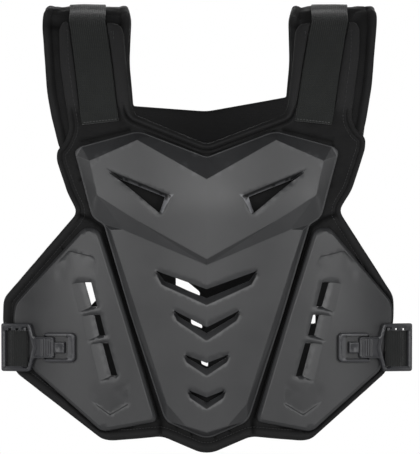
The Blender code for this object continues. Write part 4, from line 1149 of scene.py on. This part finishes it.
def make_buckle_frame(side, plastic):
    word = "right" if side > 0 else "left"
    outer = rounded(both_ways(((0, FRAME_WIDTH / 2), (FRAME_SHOULDER, FRAME_WIDTH / 2),
                               (TONGUE_ROOT, TONGUE_HALF), (TONGUE_END, TONGUE_HALF))), 0.003)
    slope = FRAME_POINT / (FRAME_WIDTH / 2)
    inner_point = FRAME_LENGTH - FRAME_WALL * math.hypot(1, slope)
    top, shelf = STRAP_WIDE / 2 - STRAP_SAG + NOTCH_DEPTH, STRAP_WIDE / 2 - STRAP_SAG
    bottom = -STRAP_WIDE / 2 - STRAP_SAG
    notches = [(length, width) for start in (0.0085, 0.0175)
               for length, width in ((start, shelf), (start, top), (start + 0.0035, top),
                                     (start + 0.0035, shelf))]
    window = rounded(np.array([(FRAME_WALL, bottom), (FRAME_WALL, shelf)] + notches
                              + [(BAR_START, shelf), (BAR_START, bottom)]), 0.0005, 2)
    point = rounded(both_ways(((BAR_END, WINDOW_HALF),
                               (inner_point - slope * WINDOW_HALF, WINDOW_HALF),
                               (inner_point, 0.0))), 0.0009, 2)

    def high(spots):
        length, width = spots[:, 0], np.abs(spots[:, 1])
        ridge = FRAME_LENGTH - (FRAME_LENGTH - TONGUE_ROOT) * width / TONGUE_HALF
        past = ramp(length, ridge)
        rail = ramp(width, TONGUE_HALF - RAIL_WIDTH * 0.8, 0.0006)
        tongue = TONGUE_THICKNESS + (FRAME_THICKNESS - TONGUE_THICKNESS) * 0.8 * rail
        for k in range(TONGUE_RIBS):
            gap = length - TONGUE_END + (k + 1) * RIB_PITCH
            tongue += RIB_HEIGHT * bell(gap, RIB_PITCH / 2) * (1 - rail)
        face = FRAME_THICKNESS + 0.0005 * bell(np.abs(gap_to(spots, outer)) - 0.0021, 0.0019)
        bar = (1 - ramp(np.abs(length - (BAR_START + BAR_END) / 2), BAR_WIDTH / 2 + 0.0002, 0.0004))
        bar *= 1 - ramp(width, WINDOW_HALF - RAIL_SLOPE)
        face = face + bar * (BAR_THICKNESS - face)
        return FRAME_BASE + face + past * (tongue - face)

    lines = [np.array(((TONGUE_ROOT + s, TONGUE_HALF), (FRAME_LENGTH + s, 0),
                       (TONGUE_ROOT + s, -TONGUE_HALF))) for s in (0, RAIL_SLOPE / 2, RAIL_SLOPE)]
    for k in range(TONGUE_RIBS):
        for shift in (-RIB_PITCH / 2, 0):
            length = TONGUE_END - (k + 1) * RIB_PITCH + shift
            lines.append(np.array(((length, TONGUE_HALF - 0.001), (length, 0.001 - TONGUE_HALF))))
    for width in (TONGUE_HALF - RAIL_WIDTH * 0.8, TONGUE_HALF - RAIL_WIDTH * 0.8 + 0.0006):
        for way in (-1, 1):
            lines.append(np.array(((FRAME_LENGTH, way * width), (TONGUE_END - 0.001, way * width))))
    piece = lay_sheet(f"buckle_loop_{word}", outer, lambda spots: np.full(len(spots), FRAME_BASE),
                      high, plastic, BUCKLE_STEP, holes=[window, point], lines=lines,
                      edge=0.0009, low_edge=0.0004, placer=buckle_placer(side))
    finish_buckle(f"buckle_frame_{word}")


def finish_buckle(node):
    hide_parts(node)


def make_buckle_socket(side, plastic):
    word = "right" if side > 0 else "left"
    half = CHANNEL_HALF + RAIL_SLOPE + RAIL_WIDTH
    outline = rounded(both_ways(((SOCKET_MOUTH, half - RAIL_WIDTH / 2),
                                 (SOCKET_MOUTH + RAIL_WIDTH, half),
                                 (SOCKET_END - RAIL_WIDTH, half),
                                 (SOCKET_END, half - RAIL_WIDTH))), 0.0015, 3)
    wall = SOCKET_END - END_WALL
    corner = 0.0022

    def high(spots):
        length, width = spots[:, 0], np.abs(spots[:, 1])
        over = np.maximum(length - wall + corner, 0)
        beside = np.maximum(width - CHANNEL_HALF + corner, 0)
        past = np.hypot(over, beside) - corner
        share = ramp(np.maximum(past, width - CHANNEL_HALF), 0)
        rim = gap_to(spots, outline)
        crown = 0.0004 * bell(rim - RAIL_WIDTH * 0.75, RAIL_WIDTH * 0.6)
        groove = 0.0006 * bell(length - wall - END_WALL * 0.62, 0.0009) * (width < CHANNEL_HALF * 0.6)
        return SOCKET_BASE + SOCKET_FLOOR + share * (RAIL_HEIGHT + crown - groove - SOCKET_FLOOR)

    # Painted shade in the socket's channel: darkest on its floor, none on top of the rails.
    def painted_shade_and_glint(_, heights):
        return 0.8 - 0.8 * (heights - SOCKET_BASE - SOCKET_FLOOR) / (RAIL_HEIGHT - SOCKET_FLOOR)

    lines = []
    for shift in (0.0, RAIL_SLOPE / 2, RAIL_SLOPE):
        track = rounded(np.array(((SOCKET_MOUTH + 0.001, CHANNEL_HALF + shift),
                                  (wall + shift, CHANNEL_HALF + shift),
                                  (wall + shift, -CHANNEL_HALF - shift),
                                  (SOCKET_MOUTH + 0.001, -CHANNEL_HALF - shift))), corner, 4)
        lines.append(track[4:-4])
    piece = lay_sheet(f"buckle_housing_{word}", outline,
                      lambda spots: np.full(len(spots), SOCKET_BASE), high, plastic, BUCKLE_STEP,
                      lines=lines, edge=0.0010, low_edge=0.0003, placer=buckle_placer(side),
                      painted_shade_and_glint=painted_shade_and_glint)
    finish_buckle(f"buckle_socket_{word}")


def make_buckle_button(side, plastic):
    word = "right" if side > 0 else "left"
    start = TONGUE_END + SIDE_PLAY
    outline = rounded(both_ways(((start, BUTTON_WIDTH / 2),
                                 (start + BUTTON_LENGTH, BUTTON_WIDTH / 2))), 0.0012, 3)

    def high(spots):
        length, width = spots[:, 0] - start - BUTTON_LENGTH / 2, spots[:, 1]
        dish = 0.0007 * bell(np.hypot(length / BUTTON_LENGTH, width / BUTTON_WIDTH), 0.46)
        return FRAME_BASE + BUTTON_HEIGHT - dish

    piece = lay_sheet(f"buckle_press_{word}", outline,
                      lambda spots: np.full(len(spots), FRAME_BASE), high, plastic, 0.0011,
                      edge=BUTTON_BEVEL, low_edge=0.0003, placer=buckle_placer(side))
    finish_buckle(f"buckle_button_{word}")


def eased(line, rounds=3):
    """An open line with its corners cut again and again, which makes it smooth."""
    for _ in range(rounds):
        a, b = line[:-1], line[1:]
        mixed = np.stack((0.75 * a + 0.25 * b, 0.25 * a + 0.75 * b), axis=1).reshape(-1, 2)
        line = np.concatenate((line[:1], mixed, line[-1:]))
    return line


def strap_plan():
    """Middle line of a side strap in plan: round the bar, under the frame, round the side."""
    half = STRAP_THICKNESS / 2
    turn = BAR_THICKNESS / 2 + CLEARANCE + half
    bar_middle = FRAME_BASE + BAR_THICKNESS / 2
    centre = BAR_END - BAR_THICKNESS / 4
    under_frame = FRAME_BASE - 2 * CLEARANCE - half
    route = [(OUTER_WAY - centre + STRAP_TAIL, bar_middle - turn),
             (OUTER_WAY - centre, bar_middle - turn)]
    for angle in (-60, -30, 0, 30, 60, 90):
        bend = math.radians(angle)
        route.append((OUTER_WAY - centre - turn * math.cos(bend), bar_middle + turn * math.sin(bend)))
    route += [(OUTER_WAY - centre + STRAP_TAIL, bar_middle + turn - CLEARANCE),
              (OUTER_WAY - FRAME_WALL - STRAP_THICKNESS, under_frame),
              (OUTER_WAY + STRAP_THICKNESS, under_frame)]
    seat = way_of(max(row[0] for row in BACK_HEM) * VEST_WIDTH / 2, back=True)
    on_pad = BACK_FACE + CLEARANCE + half + ROLL_HEIGHT
    back = [(seat - 2 * STRAP_THICKNESS, on_pad), (seat + 0.014, on_pad),
            (seat + STRAP_SEAM, on_pad - ROLL_HEIGHT)]
    plans = []
    for part in (route, back):
        ways, heights = np.array(part).T
        ways, heights = resampled(np.stack((ways, heights), axis=1), 0.004, closed=False).T
        turns = np.interp(ways, WAYS, TURNS)
        t = np.where(turns <= math.pi / 2, BUCKLE_T, -BUCKLE_T)
        chart = np.stack((TORSO_HALF * np.sin(turns), t), axis=1)
        plans.append(place(chart, heights)[:, :2])
    return eased(np.concatenate(plans), 2)


def make_strap(side, elastic):
    word = "right" if side > 0 else "left"
    plan = strap_plan() * (side, 1)
    runs = np.gradient(plan, axis=0)
    runs /= np.linalg.norm(runs, axis=1)[:, None]
    normals = np.stack((-runs[:, 1], runs[:, 0]), axis=1)
    lengths = np.concatenate(([0], np.cumsum(np.linalg.norm(np.diff(plan, axis=0), axis=1))))
    level = REST_HEIGHT + BUCKLE_T - STRAP_SAG - 2 * CLEARANCE
    widths = STRAP_WIDE / 2 * np.array((-1, -0.985, -0.94, -0.7, -0.35, 0, 0.35, 0.7, 0.94,
                                         0.985, 1))
    halves = STRAP_THICKNESS / 2 * np.array((0.35, 0.8, 1, 1, 1, 1, 1, 1, 1, 0.8, 0.35))
    section = [(w, d) for w, d in zip(widths, halves)]
    section += [(w, -d) for w, d in zip(widths[::-1], halves[::-1])]
    points, chart, faces = [], [], []
    for spot, normal, length in zip(plan, normals, lengths):
        for width, depth in section:
            x, y = spot + depth * normal
            points.append((x, y, level + width))
            chart.append((width + (0.05 if depth < 0 else 0), length))
    count = len(section)
    for ring in range(len(plan) - 1):
        here = ring * count
        faces += [[here + k, here + (k + 1) % count, here + count + (k + 1) % count,
                   here + count + k] for k in range(count)]
    last = count * (len(plan) - 1)
    faces += [list(range(count))[::-1], list(range(last, last + count))]
    if side < 0:
        faces = [face[::-1] for face in faces]
    piece = make_mesh(f"strap_{word}", np.array(points), faces, elastic, np.array(chart))
    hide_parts(f"side_strap_{word}")


class Recipe:
    """A procedural material under construction, on the chart of its piece in metres."""

    def __init__(self, name, roughness, **fixed):
        self.material = bpy.data.materials.new(name)
        self.material.use_nodes = True
        self.tree = self.material.node_tree
        self.shader = self.tree.nodes["Principled BSDF"]
        self.shader.inputs["Roughness"].default_value = roughness
        for socket, value in fixed.items():
            self.shader.inputs[socket.replace("_", " ")].default_value = value
        uv = self.tree.nodes.new("ShaderNodeUVMap")
        uv.uv_map = "chart"
        self.chart = uv.outputs[0]

    def node(self, kind, values=(), **settings):
        node = self.tree.nodes.new("ShaderNode" + kind)
        for key, value in settings.items():
            setattr(node, key, value)
        for socket, value in dict(values).items():
            if isinstance(value, bpy.types.NodeSocket):
                self.tree.links.new(value, node.inputs[socket])
            else:
                node.inputs[socket].default_value = value
        return node

    def noise(self, size, detail=3, rough=0.55):
        """Cloudy noise between 0 and 1, with clouds of about size metres."""
        return self.node("TexNoise", {"Vector": self.chart, "Scale": 1 / size, "Detail": detail,
                                      "Roughness": rough}).outputs["Fac"]

    def waves(self, pitch, direction, wobble=0.0):
        """Ridges across a direction, one each pitch."""
        return self.node("TexWave", {"Vector": self.chart, "Scale": WAVE_SCALE / pitch,
                                     "Distortion": wobble, "Detail Scale": 3.0},
                         bands_direction=direction).outputs["Fac"]

    def spread(self, value, low, high, to_low=0.0, to_high=1.0):
        return self.node("MapRange", {"Value": value, "From Min": low, "From Max": high,
                                      "To Min": to_low, "To Max": to_high}).outputs[0]

    def maths(self, operation, a, b):
        return self.node("Math", {0: a, 1: b}, operation=operation).outputs[0]

    def mix(self, share, a, b):
        """Blend two colours, which are sockets or plain triples."""
        a, b = ((*c, 1) if isinstance(c, tuple) else c for c in (a, b))
        return self.node("Mix", {0: share, 6: a, 7: b}, data_type="RGBA").outputs[2]

    def bump(self, height, depth, below=None):
        values = {"Height": height, "Distance": depth, "Strength": 1.0}
        if below:
            values["Normal"] = below
        return self.node("Bump", values).outputs[0]

    def finish(self, colour, rough=None, normal=None):
        self.tree.links.new(colour, self.shader.inputs["Base Color"])
        if rough:
            self.tree.links.new(rough, self.shader.inputs["Roughness"])
        if normal:
            self.tree.links.new(normal, self.shader.inputs["Normal"])
        return self.material


def plastic_recipe(name, dark, light, wear_and_painted_light, roughness, grain):
    """Moulded plastic: fine grain, cloudy gloss, lighter edges as wear and painted highlight, painted
    shade on vent walls and a painted highlight on vent edges.
    """
    recipe = Recipe(name, roughness)
    cloud = recipe.noise(0.045, 4)
    # Convex edges turn lighter: partly wear, partly a painted highlight along rims and creases.
    edge = recipe.spread(recipe.node("NewGeometry").outputs["Pointiness"], 0.54, 0.64)
    edge_wear_and_highlight = recipe.maths("MULTIPLY", edge, recipe.spread(recipe.noise(0.006), 0.35, 0.65, 0.3, 0.4))
    colour = recipe.mix(edge_wear_and_highlight, recipe.mix(recipe.spread(cloud, 0.3, 0.7), dark, light), wear_and_painted_light)
    # Painted shade, near black, where the per-point value is positive: vent walls and the buckle
    # socket's channel.
    sunk = recipe.node("Attribute", attribute_name="painted_shade_and_glint").outputs["Fac"]
    shade = tuple(0.22 * value for value in dark)
    colour = recipe.mix(recipe.spread(sunk, 0.0, 1.0, 0.0, 0.9), colour, shade)
    # A painted highlight where the per-point value is negative: the eye vents' edges and inner end
    # walls.
    glint = tuple(3.2 * value for value in wear_and_painted_light)
    colour = recipe.mix(recipe.spread(sunk, -1.0, 0.0, 1.0, 0.0), colour, glint)
    fleck = recipe.noise(0.0016, 2)
    rough = recipe.maths("ADD", recipe.spread(cloud, 0.3, 0.7, roughness - 0.04, roughness + 0.04),
                         recipe.spread(fleck, 0.3, 0.7, -0.02, 0.02))
    normal = recipe.bump(recipe.noise(0.0009, 3), grain)
    return recipe.finish(colour, rough, normal)


def fabric_recipe():
    """Knitted cover of the pads: small loops in rows, a faint nap and cloudy shade, with a painted
    highlight on its ridges and painted shade in its seams and folds.
    """
    recipe = Recipe("knitted_cover", 0.8, Sheen_Weight=0.03, Sheen_Roughness=0.45,
                    Specular_IOR_Level=0.15)
    rows = recipe.waves(0.0014, "Y", 1.2)
    loops = recipe.waves(0.0011, "X", 1.2)
    knit = recipe.maths("MULTIPLY", rows, loops)
    cloud = recipe.spread(recipe.noise(0.03, 5), 0.3, 0.7)
    base = recipe.mix(cloud, (0.0076, 0.0076, 0.0078), (0.0122, 0.0122, 0.0125))
    colour = recipe.mix(recipe.spread(knit, 0.0, 1.0, 0.0, 0.5), base, (0.017, 0.017, 0.0175))
    # Painted highlight on the ridges and painted shade, near black, in the seams and folds.
    relief = recipe.node("Attribute", attribute_name="painted_shade_and_glint").outputs["Fac"]
    colour = recipe.mix(recipe.spread(relief, 0.0, 0.5, 0.8, 0.0), colour, (0.021, 0.021, 0.0215))
    colour = recipe.mix(recipe.spread(relief, 0.5, 1.0, 0.0, 0.9), colour, (0.0012, 0.0012, 0.0013))
    nap = recipe.bump(recipe.noise(0.004, 4), 0.0004)
    return recipe.finish(colour, None, recipe.bump(knit, 0.00025, nap))


def webbing_recipe(name, dark, light, along, across):
    """Woven tape: yarns that pass over and under each other."""
    recipe = Recipe(name, 0.8, Sheen_Weight=0.2, Sheen_Roughness=0.4, Specular_IOR_Level=0.3)
    warp = recipe.waves(across, "X")
    weft = recipe.waves(along, "Y", 0.6)
    weave = recipe.maths("MULTIPLY", warp, weft)
    weave = recipe.maths("ADD", weave, recipe.spread(recipe.noise(0.0022, 4), 0.3, 0.7, -0.3, 0.3))
    cloud = recipe.spread(recipe.noise(0.018, 5), 0.3, 0.7)
    base = recipe.mix(cloud, dark, light)
    bright = tuple(1.6 * value for value in light)
    colour = recipe.mix(recipe.spread(weave, 0.1, 0.9, 0.0, 0.6), base, bright)
    return recipe.finish(colour, None, recipe.bump(weave, 0.0004))


def thread_recipe(name, colour):
    recipe = Recipe(name, 0.6, Sheen_Weight=0.2)
    shade = recipe.mix(recipe.spread(recipe.noise(0.002), 0.3, 0.7), colour,
                       tuple(1.5 * value for value in colour))
    return recipe.finish(shade)


def floor_recipe():
    recipe = Recipe("studio_floor", 0.7)
    cloud = recipe.spread(recipe.noise(0.4, 4), 0.3, 0.7)
    return recipe.finish(recipe.mix(cloud, (0.76, 0.76, 0.765), (0.80, 0.80, 0.80)))


# Camera and light
CAMERA_DISTANCE = 14.0
PIXEL = 0.0011
CENTRE_PIXEL = 206.7
TOP_PIXEL = 3.0
IMAGE_WIDTH = 420
IMAGE_HEIGHT = 454
FLOOR_LEVEL = -0.62
FLOOR_HALF = 1.5
AMBIENT = 0.08


def make_camera():
    data = bpy.data.cameras.new("camera")
    data.sensor_width = 36
    data.lens = data.sensor_width * CAMERA_DISTANCE / (IMAGE_HEIGHT * PIXEL)
    camera = bpy.data.objects.new("camera", data)
    bpy.context.scene.collection.objects.link(camera)
    aim_x = (IMAGE_WIDTH / 2 - CENTRE_PIXEL) * PIXEL
    aim_z = TOP_HEIGHT - (IMAGE_HEIGHT / 2 - TOP_PIXEL) * PIXEL
    camera.location = (aim_x, -CAMERA_DISTANCE - CHEST_DEPTH / 2, aim_z)
    camera.rotation_euler = (math.pi / 2, 0, 0)
    bpy.context.scene.camera = camera


def make_light(name, place_at, aim, size, power):
    data = bpy.data.lights.new(name, "AREA")
    data.shape = "RECTANGLE"
    data.size, data.size_y = size
    data.energy = power
    light = bpy.data.objects.new(name, data)
    light.location = place_at
    light.rotation_euler = (Vector(aim) - Vector(place_at)).to_track_quat("-Z", "Y").to_euler()
    light.visible_camera = False
    bpy.context.scene.collection.objects.link(light)


def make_world():
    world = bpy.data.worlds.new("studio")
    world.use_nodes = True
    tree = world.node_tree
    tree.nodes.clear()
    output = tree.nodes.new("ShaderNodeOutputWorld")
    mix = tree.nodes.new("ShaderNodeMixShader")
    path = tree.nodes.new("ShaderNodeLightPath")
    for socket, strength in ((1, AMBIENT), (2, 1.0)):
        background = tree.nodes.new("ShaderNodeBackground")
        background.inputs["Color"].default_value = (1, 1, 1, 1)
        background.inputs["Strength"].default_value = strength
        tree.links.new(background.outputs[0], mix.inputs[socket])
    tree.links.new(path.outputs["Is Camera Ray"], mix.inputs[0])
    tree.links.new(mix.outputs[0], output.inputs["Surface"])
    bpy.context.scene.world = world
    bpy.context.scene.view_settings.view_transform = "Standard"


def make_floor():
    corners = [(-FLOOR_HALF, -FLOOR_HALF), (FLOOR_HALF, -FLOOR_HALF), (FLOOR_HALF, FLOOR_HALF),
               (-FLOOR_HALF, FLOOR_HALF)]
    mesh = bpy.data.meshes.new("floor")
    mesh.from_pydata([(x, y, FLOOR_LEVEL) for x, y in corners], [], [(0, 1, 2, 3)])
    layer = mesh.uv_layers.new(name="chart")
    layer.data.foreach_set("uv", [value for corner in corners for value in corner])
    mesh.materials.append(floor_recipe())
    floor = bpy.data.objects.new("floor", mesh)
    bpy.context.scene.collection.objects.link(floor)


def main():
    make_camera()
    make_world()
    make_light("front_softbox", (0, -2.6, 0.14), (0, 0, -0.24), (1.2, 1.2), 25)
    make_light("back_softbox", (0, 2.6, 0.6), (0, 0, -0.24), (2.0, 1.4), 62)
    for side in (-1, 1):
        make_light("corner_softbox", (side * 1.48, -2.14, 0.0), (0, 0, -0.24), (0.6, 1.2), 14)
        make_light("side_strip", (side * 2.3, -0.35, -0.1), (0, 0, -0.24), (0.5, 1.8), 10)
    make_floor()
    fabric = fabric_recipe()
    seam_thread = thread_recipe("seam_thread", (0.010, 0.010, 0.011))
    tape_thread = thread_recipe("tape_thread", (0.050, 0.052, 0.051))
    # The third colour of each plastic is its edge wear and painted highlight.
    plastic = plastic_recipe("shell_plastic_look", (0.024, 0.0245, 0.026), (0.031, 0.0315, 0.033),
                             (0.075, 0.076, 0.080), 0.38, 0.00005)
    buckle = plastic_recipe("buckle_plastic_look", (0.0215, 0.022, 0.025), (0.027, 0.0275, 0.031),
                            (0.085, 0.086, 0.092), 0.33, 0.00002)
    woven = webbing_recipe("woven_webbing", (0.0085, 0.0095, 0.0090), (0.0120, 0.0132, 0.0126),
                           0.0012, 0.0022)
    elastic = webbing_recipe("woven_elastic", (0.0080, 0.0086, 0.0084), (0.0110, 0.0118, 0.0115),
                             0.0030, 0.0012)
    make_front_pad(fabric, seam_thread)
    make_back_pad(fabric, seam_thread)
    make_chest_shell(plastic)
    make_back_shell(plastic)
    for side in (-1, 1):
        make_side_shell(plastic, side)
        make_webbing(side, woven, tape_thread)
        make_buckle_frame(side, buckle)
        make_buckle_socket(side, buckle)
        make_buckle_button(side, buckle)
        make_strap(side, elastic)


main()
